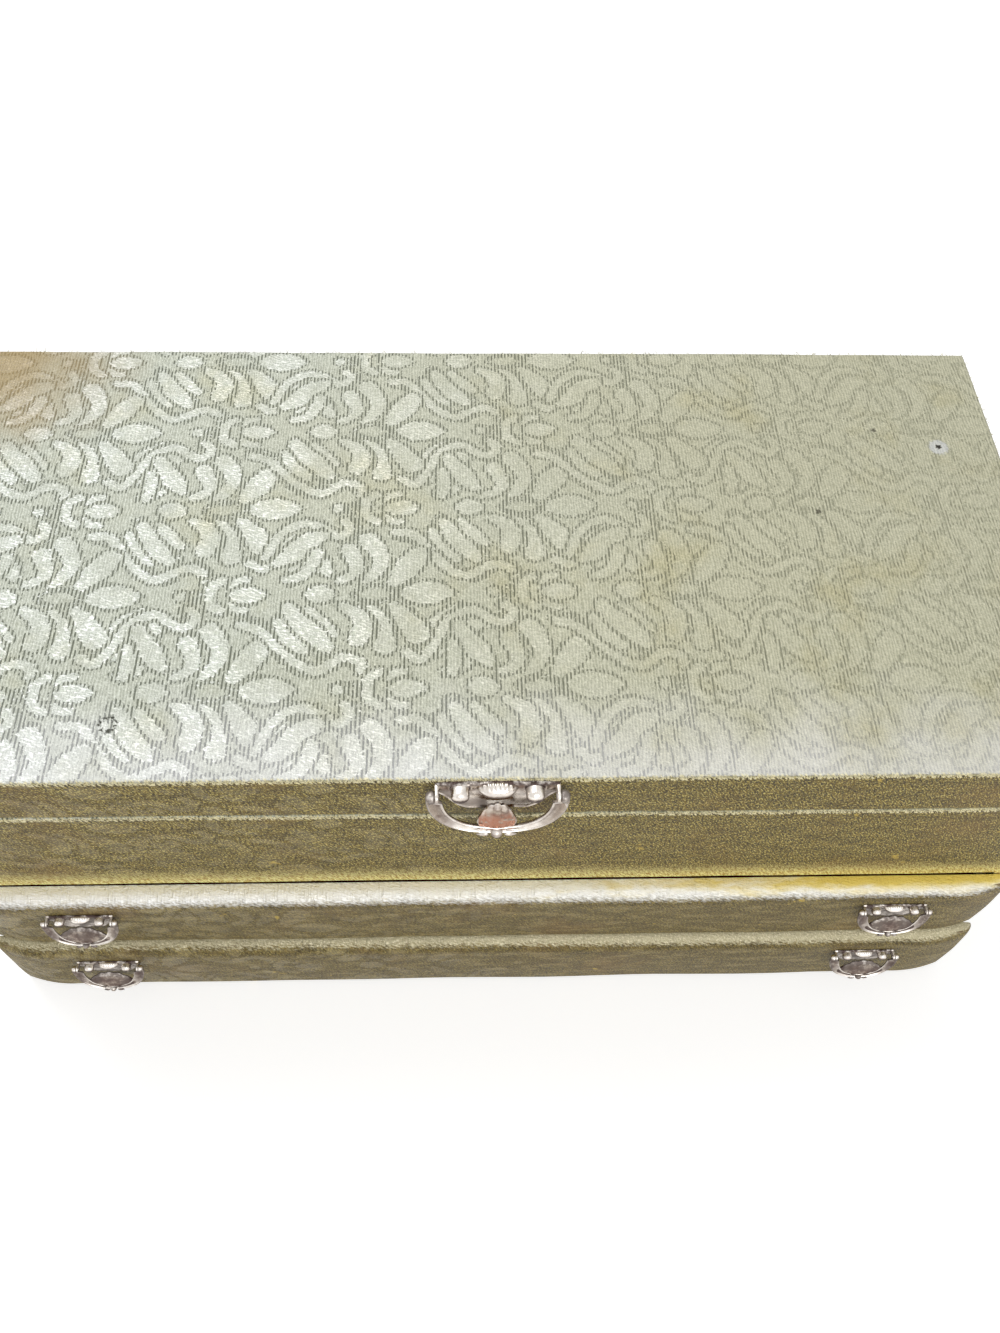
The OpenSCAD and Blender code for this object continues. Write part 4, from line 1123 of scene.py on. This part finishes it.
def bail_form(side_w, fan_half, lean):
    """Cupped U-shaped band with lugs and pivot pins, a fan of leaves inside it and a bead below."""
    form = Form()
    steps, section = 120, 16
    clear_x = EAR_X + EAR_T / 2 + 0.2
    front, back = [], []
    for i in range(steps + 1):
        turn = math.pi * i / steps
        ox, oz = u_point(turn, BAIL_W, BAIL_DROP)
        ix, iz = u_point(turn, BAIL_W - 2 * side_w, BAIL_DROP - BAIL_BOTTOM_W)
        neck = min(1.0, max(0.0, (iz + BAIL_NECK + 0.9) / 0.9))
        ix += (math.copysign(max(abs(ix), clear_x), ix) - ix) * neck
        front.append([])
        back.append([])
        for j in range(section + 1):
            q = j / section
            cup = 0.85 * math.sin(math.pi * q) ** 0.7 * abs(math.cos(turn)) ** 0.3
            rims = 0.2 * dent(q - 0.1, 0.07) + 0.2 * dent(q - 0.9, 0.07)
            taper = 1 - (2 * abs(q - 0.5)) ** 8
            lift = BAIL_T / 2 * (0.35 + 0.65 * taper) - cup * (1 - neck) + rims
            front[-1].append((ix + (ox - ix) * q, lift, iz + (oz - iz) * q))
            back[-1].append((ix + (ox - ix) * q, -BAIL_T / 2 * (0.2 + 0.8 * taper), iz + (oz - iz) * q))
    closed_patch(form, front, back)
    stain_and_shade_cup(form, front)
    inner_pin = EAR_X - EAR_T / 2 - 0.2
    outer = BAIL_W / 2
    for side in (-1, 1):
        # The lugs are painted dark with grime and painted shade.
        lathe(form, [(inner_pin, 0.0), (inner_pin, PIN_R * 0.8), (inner_pin + 0.15, PIN_R), (clear_x, PIN_R),
                     (clear_x, LUG_R - 0.15), (clear_x + 0.15, LUG_R), (outer - 1.2, LUG_R),
                     (outer - 0.5, LUG_R - 0.3), (outer - 0.1, LUG_R - 0.8), (outer + 0.02, 0.0)],
              (0.0, 0.0, 0.0), (side, 0, 0), 28, paint=some(GRIME_AND_SHADE, 0.7))
    add_palmette(form, fan_half)
    lathe(form, ball(BEAD_R), (0.0, BAIL_T / 2 - 0.1, -BAIL_DROP + 0.75), (0, 1, 0), 24)
    for side in (-1, 1):
        add_teardrop(form, (side * 1.8, BAIL_T / 2 - 0.3, -BAIL_DROP - 0.1),
                     (side * 5.2, BAIL_T / 2 - 0.4, -BAIL_DROP - 0.9), 0.75)
        add_teardrop(form, (side * 2.2, BAIL_T / 2, -BAIL_DROP + 1.9),
                     (side * 5.6, BAIL_T / 2 + 0.1, -BAIL_DROP + 2.4), 0.5)
    lean_c, lean_s = math.cos(lean), math.sin(lean)
    form.move(lambda p: (p[0], PIVOT_OUT + p[1] * lean_c - p[2] * lean_s, p[2] * lean_c + p[1] * lean_s))
    return form


def stain_and_shade_cup(form, front):
    """Grime and painted shade in the hollow and along the outer rim of the band's sides; its bottom is rubbed
    bright and painted with a highlight.
    """
    columns = len(front[0])
    for i, row in enumerate(front):
        for j in range(columns):
            on_side = min(1.0, max(0.0, (abs(row[j][0]) / (BAIL_W / 2) - 0.55) / 0.3))
            across = j / (columns - 1)
            rim = max(0.0, across - 0.86) / 0.14
            dirt_and_shade = 0.45 * math.sin(math.pi * across) ** 0.6 + 0.8 * rim
            form.paint[i * columns + j] = (0.0, 1.0 - on_side, min(1.0, dirt_and_shade) * on_side)


def ball(radius, steps=10):
    return [(-radius * math.cos(math.pi * i / steps), radius * math.sin(math.pi * i / steps))
            for i in range(steps + 1)]


def add_teardrop(form, root, tip, radius):
    """A small leaf that tapers from root to tip."""
    root, tip = Vector(root), Vector(tip)
    length = (tip - root).length
    profile = [(length * t, radius * math.sqrt(t) * (1 - t) * 2.4) for t in (i / 10 for i in range(11))]
    lathe(form, profile, root, tip - root, 14)


def add_palmette(form, half):
    """The fan inside the bail: five ribbed lobes that spread from its bottom up to the boss."""
    root = -BAIL_DROP + BAIL_BOTTOM_W / 2
    height = FAN_TOP - root
    front, back = [], []
    rows, columns = 30, 60
    for r in range(rows + 1):
        v = r / rows
        front.append([])
        back.append([])
        for c in range(columns + 1):
            s = 2 * c / columns - 1
            width = half * (0.45 + 0.55 * math.sin(math.pi * min(1.0, v * 0.55 + 0.1)))
            lobe = abs(math.cos(2.5 * math.pi * s))
            crest = height * (1 - 0.55 * abs(s) ** 2.2) * (0.94 + 0.06 * lobe)
            edge = min(1.0, (1 - abs(s)) * 4, (1 - v) * 6 + 0.05)
            lift = 0.1 + (0.55 * (1 - s * s) + 0.4 * lobe * v) * edge
            front[-1].append((s * width, lift, root + crest * v))
            back[-1].append((s * width, -0.45, root + crest * v))
    first = len(form.points)
    closed_patch(form, front, back)
    # The fan's sides get grime and painted shade; its lower middle shows bare copper.
    for i in range(first, len(form.points)):
        x, _, z = form.points[i]
        rise = (z - root) / height
        at_side = abs(x) >= 4.5
        form.paint[i] = some(GRIME_AND_SHADE, (abs(x) - 3.5) / 6.0) if at_side else some(COPPER, (0.75 - rise) / 0.3)


def seat(form, pivot, k):
    """Moves a form of a pull from its own place to a pivot, at k times its size."""
    form.move(lambda p: (pivot[0] + p[0] * k, pivot[1] - p[1] * k, pivot[2] + p[2] * k))


def place_pull(prefix, end, body, bail_body, side_w, fan_half, lean):
    """Sets one pull on its plate's place, at the size of its own bail; tells its pivot and size."""
    bail_low, bail_high = box_mm(prefix + "bail" + end)
    plate_back = box_mm(prefix + "pull_plate" + end)[1][1]
    k = (bail_high[0] - bail_low[0]) / BAIL_W
    pivot = ((bail_low[0] + bail_high[0]) / 2, plate_back, bail_high[2] - LUG_R * k)
    for form, name, rides in ((pull_plate_form(), "pull_plate", body),
                              (bail_form(side_w, fan_half, math.radians(lean)), "bail", bail_body)):
        if end:
            highlight_knob_tops(form)
        seat(form, pivot, k)
        obj = make_object(prefix + name + end + "_cast", form.points, form.faces)
        tidy_normals(obj, 50)
        paint_metal(obj, form.paint, *(DRAWER_WEAR if end else LID_WEAR))
        dress(obj, rides, old_nickel, "pull_metal", prefix + name + end)
    return pivot, k


def highlight_knob_tops(form):
    """Paints the tops of the ears and lugs bright, as a highlight, down to the height of the pivot."""
    for i, (x, _, z) in enumerate(form.points):
        if abs(x) > EAR_X - EAR_T and z > 0.2:
            form.paint[i] = some(BRIGHT, (z - 0.2) / 0.6)


def paint_metal(obj, paint, worn_through, tarnished):
    """Stores the paint of a pull; tarnished is the least grime and painted shade that its places without
    highlight or rubbing have.
    """
    copper, bright, grime_and_shade = np.array(paint).T
    point_values(obj, "copper", copper * worn_through)
    point_values(obj, "bright", bright)
    point_values(obj, "grime_and_shade", np.maximum(grime_and_shade, tarnished * (1 - bright)))
    point_values(obj, "facing_up", vertex_normals(obj)[:, 2])


def place_posts(prefix, body, places):
    """The post rivets of all the pulls on one body, as one piece."""
    whole = Form()
    for pivot, k in places:
        form = post_form()
        seat(form, pivot, k)
        first = len(whole.points)
        whole.add(form.points, form.faces)
        whole.paint[first:] = form.paint
    obj = make_object(prefix + "pull_posts_domed", whole.points, whole.faces)
    tidy_normals(obj, 40)
    paint_metal(obj, whole.paint, *LID_WEAR)
    dress(obj, body, old_nickel, "pull_metal", prefix + "pull_posts")


# Width of the bail's sides, half width of its fan and its lean in degrees; how much copper and how much grime
# and painted shade show.
LID_BAIL, LID_WEAR = (3.9, 4.9, 5), (1.0, 0.1)
DRAWER_BAIL, DRAWER_WEAR = (4.9, 11.8, 17), (0.2, 0.8)
place_posts("lid_", "lid", [place_pull("lid_", "", "lid", "lid_bail", *LID_BAIL)])
for level in ("upper", "lower"):
    drawer = level + "_drawer"
    pulls = [place_pull(level + "_", side, drawer, level + "_bail" + side, *DRAWER_BAIL)
             for side in ("_left", "_right")]
    place_posts(level + "_", drawer, pulls)


# ---- hinges and stay ----

BOX_FACES = [(0, 1, 3, 2), (4, 6, 7, 5), (0, 4, 5, 1), (2, 3, 7, 6), (0, 2, 6, 4), (1, 5, 7, 3)]
SLOT_W, SLOT_DEPTH = 0.5, 0.4


def slotted_screws(node):
    """The hinge screws with a slot cut in each head, each turned its own way."""
    obj = softened(node, 0.12)
    heads_y = box_mm(node)[1][1]
    cutter = Form()
    for i, (x, z) in enumerate(screw_middles(obj.data)):
        turn = math.radians(25 + 67 * i)
        across = Vector((math.cos(turn), 0, math.sin(turn)))
        up = Vector((0, 1, 0)).cross(across)
        corners = [Vector((x, heads_y + c * SLOT_DEPTH, z)) + across * a * 3 + up * b * SLOT_W / 2
                   for a in (-1, 1) for b in (-1, 1) for c in (-1, 1)]
        cutter.add(corners, BOX_FACES)
    tool = make_object(node + "_slots", cutter.points, cutter.faces)
    cut = obj.modifiers.new("slots", "BOOLEAN")
    cut.operation = "DIFFERENCE"
    cut.object = tool
    cut.solver = "EXACT"
    apply_modifiers(obj)
    bpy.data.objects.remove(tool)
    return obj


def screw_middles(mesh):
    """The (x, z) middle of each separate screw, in millimetres."""
    work = bmesh.new()
    work.from_mesh(mesh)
    seen, middles = set(), []
    for vertex in work.verts:
        if vertex in seen:
            continue
        island, queue = [], [vertex]
        seen.add(vertex)
        while queue:
            v = queue.pop()
            island.append(v.co)
            for edge in v.link_edges:
                other = edge.other_vert(v)
                if other not in seen:
                    seen.add(other)
                    queue.append(other)
        spans = [c.x for c in island], [c.z for c in island]
        middles.append(tuple((min(span) + max(span)) / 2 / MM for span in spans))
    work.free()
    return middles


for side in ("left", "right"):
    for part in ("case", "lid"):
        node = f"hinge_{part}_leaf_{side}"
        dress(softened(node, 0.18), part, pressed_brass, "brass", node)
    node = "hinge_pin_" + side
    dress(softened(node, 0.15), "case", pressed_brass, "brass", node)
for part in ("case", "lid"):
    node = f"hinge_{part}_screws"
    dress(slotted_screws(node), part, pressed_brass, "brass", node)
for node, body in (("stay_stud", "case"), ("stay_bracket", "lid"), ("stay_arm", "stay_arm")):
    dress(softened(node, 0.2), body, pressed_brass, "brass", node)


# ---- velvet, mirror and braid ----

VELVET_T = 0.8


def rounded_loop(half_w, half_d, corner, middle_y=0.0, steps=8):
    """Points round a rectangle with rounded corners, in X and Y."""
    points = []
    for sx, sy, start in ((1, 1, 0), (-1, 1, 90), (-1, -1, 180), (1, -1, 270)):
        for i in range(steps + 1):
            turn = math.radians(start + 90 * i / steps)
            points.append((sx * (half_w - corner) + corner * math.cos(turn),
                           middle_y + sy * (half_d - corner) + corner * math.sin(turn)))
    return points


def lined_walls(form, low, high, thickness, corner, top, foot):
    """Velvet that stands against four walls: flat behind, with its upper edge rolled over."""
    middle_y = (low[1] + high[1]) / 2
    half_w, half_d = (high[0] - low[0]) / 2, (high[1] - low[1]) / 2
    upward = math.copysign(thickness, top - foot)
    rise = np.linspace(foot, top - upward, 12)
    roll = [(thickness / 2 * (1 - math.cos(a)), rise[-1] + upward * math.sin(a))
            for a in (math.pi * i / 8 for i in range(1, 8))]
    profile = [(0.0, z) for z in rise] + roll + [(thickness, z) for z in reversed(rise)]
    loops = []
    for inset, _ in profile:
        turn_r = max(corner - inset, 0.3) if inset else 0.4
        loops.append(rounded_loop(half_w - inset, half_d - inset, turn_r, middle_y))
    closed_ring(form, loops, [z for _, z in profile])


def crowned_panel(form, low, high, level, thickness, crown, seed, corner=3.0, facing=1):
    """A stuffed panel: flat behind and crowned in front, its edge drawn in all round."""
    middle_y = (low[1] + high[1]) / 2
    half_w, half_d = (high[0] - low[0]) / 2, (high[1] - low[1]) / 2
    shrink = [0.0, 0.0, 0.25, 0.7, 1.4, 2.6, 4.5, 7.5, 12.0, 18.0, 26.0, 36.0, 48.0]
    shrink = [s for s in shrink if s < min(half_w, half_d) - 4]
    points = []
    for i, s in enumerate(shrink):
        share = 1 - math.exp(-s / 1.1)
        lift = 0.0 if i == 0 else thickness * (0.45 + 0.55 * share)
        for x, y in rounded_loop(half_w - s, half_d - s, max(corner - s, 1.0), middle_y):
            swell = crown * share * (1 + noise.noise(Vector((x / 25, y / 25, seed)))) / 2
            points.append((x, y, level + facing * (lift + (swell if i else 0.0))))
    count = len(points) // len(shrink)
    faces = grid_faces(len(shrink), count, closed=True)
    faces.append(tuple(range(len(points) - count, len(points))))
    faces.append(tuple(reversed(range(count))))
    form.add(points, faces)


def velvet_piece(name, form, body, *stands_for):
    obj = make_object(name, form.points, form.faces)
    tidy_normals(obj, 60)
    return dress(obj, body, wine_velvet, "velvet", *stands_for)


def tray_velvet():
    walls, pad = Form(), Form()
    lined_walls(walls, tray_low, tray_high, VELVET_T, 3.0, tray_high[2], tray_low[2])
    velvet_piece("tray_velvet_walls", walls, "case", "tray_wall_lining")
    low, high = box_mm("tray_pad")
    crowned_panel(pad, low, high, low[2], 1.0, 1.1, seed=2.0)
    obj = velvet_piece("tray_velvet_pad", pad, "case", "tray_pad")


def lid_velvet():
    low, high = box_mm("lid_lining")
    form = Form()
    lined_walls(form, low, high, VELVET_T, 3.0, low[2], high[2])
    crowned_panel(form, low + VELVET_T, high - VELVET_T, high[2], 1.0, 0.2, seed=4.0, facing=-1)
    velvet_piece("lid_velvet", form, "lid", "lid_lining")


def drawer_velvet(level):
    low, high = box_mm(level + "_lining")
    form = Form()
    lined_walls(form, low, high, VELVET_T, 2.0, high[2], low[2])
    crowned_panel(form, low + 0.6, high - 0.6, low[2], 0.7, 0.3, seed=6.0, corner=2.0)
    velvet_piece(level + "_drawer_velvet", form, level + "_drawer", level + "_lining")


def lid_mirror():
    """Mirror glass with a ground bevel all round."""
    low, high = box_mm("lid_mirror")
    face = low[2]
    profile = [(0.0, high[2]), (0.0, face + 0.9), (0.15, face + 0.75), (7.0, face + 0.05), (7.4, face)]
    points = [(x, y, z) for inset, z in profile
              for x, y in rounded_loop(high[0] - inset, high[1] - inset, 0.6, steps=3)]
    count = len(points) // len(profile)
    faces = grid_faces(len(profile), count, closed=True)
    faces += [tuple(reversed(range(count))), tuple(range(len(points) - count, len(points)))]
    obj = make_object("lid_mirror_glass", points, faces)
    tidy_normals(obj, 3)
    dress(obj, "lid", silvered_glass, "mirror_glass", "lid_mirror")


def mirror_braid():
    """Flat gold braid: a woven band with a looped edge on both sides of a twisted cord."""
    low, high = box_mm("mirror_braid")
    half_w, half_d, top = high
    level = low[2]
    bed = level + 0.55
    form = Form()
    band = [(0.0, top), (0.0, bed), (0.5, level + 0.35), (2.0, level + 0.3), (4.4, level + 0.35), (5.0, bed),
            (5.0, top)]
    loops = [rounded_loop(half_w - inset, half_d - inset, 1.2, steps=4) for inset, _ in band]
    closed_ring(form, loops, [z for _, z in band])
    for inset, radius, pitch in ((2.5, 0.62, 4.2), (0.9, 0.36, 2.6), (4.2, 0.36, 2.6)):
        path = walk_loop(rounded_loop(half_w - inset, half_d - inset, 2.0, steps=6), pitch / 8)
        sway = radius * 0.55
        for phase in (0.0, math.pi):
            strand = []
            for along, point, outward in path:
                turn = 2 * math.pi * along / pitch + phase
                strand.append((point[0] + outward[0] * sway * math.cos(turn),
                               point[1] + outward[1] * sway * math.cos(turn),
                               level + 0.35 - sway * math.sin(turn) * 0.5))
            tube(form, strand, radius * 0.62, 6)
    obj = make_object("mirror_braid_twisted", form.points, form.faces)
    tidy_normals(obj, 60)
    dress(obj, "lid", gold_thread, "gold_braid", "mirror_braid")


def walk_loop(loop, step):
    """Evenly spaced (distance, point, outward) places round a closed loop."""
    loop = [Vector((*p, 0)) for p in loop]
    loop.append(loop[0])
    run, places, spare = 0.0, [], 0.0
    for a, b in zip(loop, loop[1:]):
        length = (b - a).length
        if length < 1e-6:
            continue
        ahead = (b - a) / length
        t = spare
        while t < length:
            places.append((run + t, a + ahead * t, (ahead.y, -ahead.x)))
            t += step
        spare = t - length
        run += length
    return places


tray_velvet()
lid_velvet()
for level in ("upper", "lower"):
    drawer_velvet(level)
lid_mirror()
mirror_braid()


# ---- paper-covered drawer boxes, base and boards ----

for level in ("upper", "lower"):
    for part in ("side_left", "side_right", "back", "floor"):
        node = f"{level}_{part}"
        dress(softened(node, 0.35), level + "_drawer", gold_paper, "gilt_paper", node)
dress(softened("base_paper", 0.2), "case", gold_paper, "gilt_paper", "base_paper")
for node in ("case_side_left", "case_side_right", "case_back", "case_bottom", "drawer_shelf", "tray_deck",
             "tray_front_wall", "lid_panel", "lid_rim_front", "lid_rim_back", "lid_rim_left", "lid_rim_right",
             "upper_front_board", "lower_front_board"):
    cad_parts[node].data.materials.clear()
    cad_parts[node].data.materials.append(millboard)


# ---- frayed threads ----

def fray(form, chance, start, end, outward, many):
    """Short broken threads that stand off a worn edge from start to end."""
    start, end, outward = Vector(start), Vector(end), Vector(outward).normalized()
    along = (end - start).normalized()
    for _ in range(many):
        root = start.lerp(end, chance.random()) - outward * 0.15
        lean = along * chance.uniform(-1.2, 1.2) + outward * chance.uniform(0.25, 1.0)
        tip = root + lean.normalized() * chance.uniform(0.5, 1.5)
        bend = root.lerp(tip, 0.55) + outward * chance.uniform(0.05, 0.35)
        tube(form, [root, bend, tip], chance.uniform(0.035, 0.07), 3)


def lid_threads():
    chance = random.Random(11)
    form = Form()
    r = LID_EDGE_R * 0.3
    x, front, foot, top = lid_high[0], lid_low[1], lid_low[2] + r, lid_high[2] - r
    fray(form, chance, (-x, front + r, top), (x, front + r, top), (0, -1, 0.5), 900)
    fray(form, chance, (-x, front + r, foot), (x, front + r, foot), (0, -1, -0.4), 170)
    for side in (-1, 1):
        edge = side * (x - r)
        fray(form, chance, (edge, front, top), (edge, -front, top), (side, 0, 0.6), 150)
    fray(form, chance, (-x, -front - r, top), (x, -front - r, top), (0, 1, 0.6), 220)
    obj = make_object("lid_frayed_threads", form.points, form.faces)
    places = np.array(form.points)
    weave(obj, places[:, :2])
    # The frayed threads are painted partly lit and partly with the glow of reflected light.
    for name, level in (("facing_up", 0.7), ("painted_glow", 0.5)):
        obj.data.attributes[name].data.foreach_set("value", np.full(len(places), level, np.float32))
    dress(obj, "lid", case_brocade, "brocade")


lid_threads()


# ---- camera, floor and light ----

CAMERA_AT = (-8.5, -193.2, 359.5)
CAMERA_PITCH, CAMERA_YAW, CAMERA_ROLL = math.radians(57.07), math.radians(3.69), math.radians(2.76)
CAMERA_FOCUS_PX, PHOTO_H = 1101.0, 1333.0
FLOOR_HALF, FLOOR_GREY, FLOOR_GLOW = 1800, 0.8, 0.54
SKY_STRENGTH = 0.42


def photo_camera():
    """The photograph's own viewpoint, found from the box's edges."""
    ahead = Vector((math.sin(CAMERA_YAW) * math.cos(CAMERA_PITCH),
                    math.cos(CAMERA_YAW) * math.cos(CAMERA_PITCH), -math.sin(CAMERA_PITCH)))
    level = Vector((math.cos(CAMERA_YAW), -math.sin(CAMERA_YAW), 0.0))
    rise = level.cross(ahead)
    right = math.cos(CAMERA_ROLL) * level + math.sin(CAMERA_ROLL) * rise
    up = -math.sin(CAMERA_ROLL) * level + math.cos(CAMERA_ROLL) * rise
    data = bpy.data.cameras.new("camera")
    data.sensor_width = 36.0
    data.lens = CAMERA_FOCUS_PX / PHOTO_H * data.sensor_width
    data.clip_start, data.clip_end = 0.01, 50.0
    camera = bpy.data.objects.new("camera", data)
    bpy.context.scene.collection.objects.link(camera)
    turn = Matrix((right, up, -ahead)).transposed().to_4x4()
    camera.matrix_world = Matrix.Translation(Vector(CAMERA_AT) * MM) @ turn
    bpy.context.scene.camera = camera


def area_light(name, place, aim, size, power):
    data = bpy.data.lights.new(name, "AREA")
    data.shape = "RECTANGLE"
    data.size, data.size_y = size
    data.energy = power
    light = bpy.data.objects.new(name, data)
    bpy.context.scene.collection.objects.link(light)
    light.location = place
    light.rotation_euler = (Vector(aim) - Vector(place)).to_track_quat("-Z", "Y").to_euler()


def studio():
    """A white floor that keeps the box's shadow, a large soft lamp behind it, one before it, and the sky."""
    corners = [(x * FLOOR_HALF, y * FLOOR_HALF, 0) for x, y in ((-1, -1), (1, -1), (1, 1), (-1, 1))]
    floor = make_object("studio_floor", corners, [(0, 1, 2, 3)])
    material, nodes, surface = new_material("floor_white", Specular_IOR_Level=0.1, Roughness=0.9,
                                            Base_Color=(FLOOR_GREY, FLOOR_GREY, FLOOR_GREY, 1.0),
                                            Emission_Color="ffffff")
    nodes.feed(surface.inputs["Emission Strength"], nodes.times(seen_directly(nodes), FLOOR_GLOW))
    floor.data.materials.append(material)
    world = bpy.data.worlds.new("plain_sky")
    bpy.context.scene.world = world
    world.use_nodes = True
    nodes = Nodes(world.node_tree)
    sky = world.node_tree.nodes["Background"]
    nodes.feed(sky.inputs["Color"], "ffffff")
    nodes.feed(sky.inputs["Strength"], nodes.step(seen_directly(nodes), 0.0, 1.0, SKY_STRENGTH, 1.0))
    area_light("back_lamp", (-0.35, 0.6, 1.2), (-0.05, 0.0, 0.1), (0.9, 0.7), 8.0)
    area_light("front_lamp", (0.3, -1.3, 0.8), (0.0, 0.0, 0.05), (1.2, 0.9), 10.0)


def seen_directly(nodes):
    """1 for rays from the camera and for those that metal and glass send on, else 0."""
    path = nodes.add("LightPath").outputs
    through = nodes.larger(path["Is Glossy Ray"], path["Is Transmission Ray"])
    return nodes.larger(path["Is Camera Ray"], through)


photo_camera()
studio()
bpy.context.scene.view_settings.view_transform = "Standard"
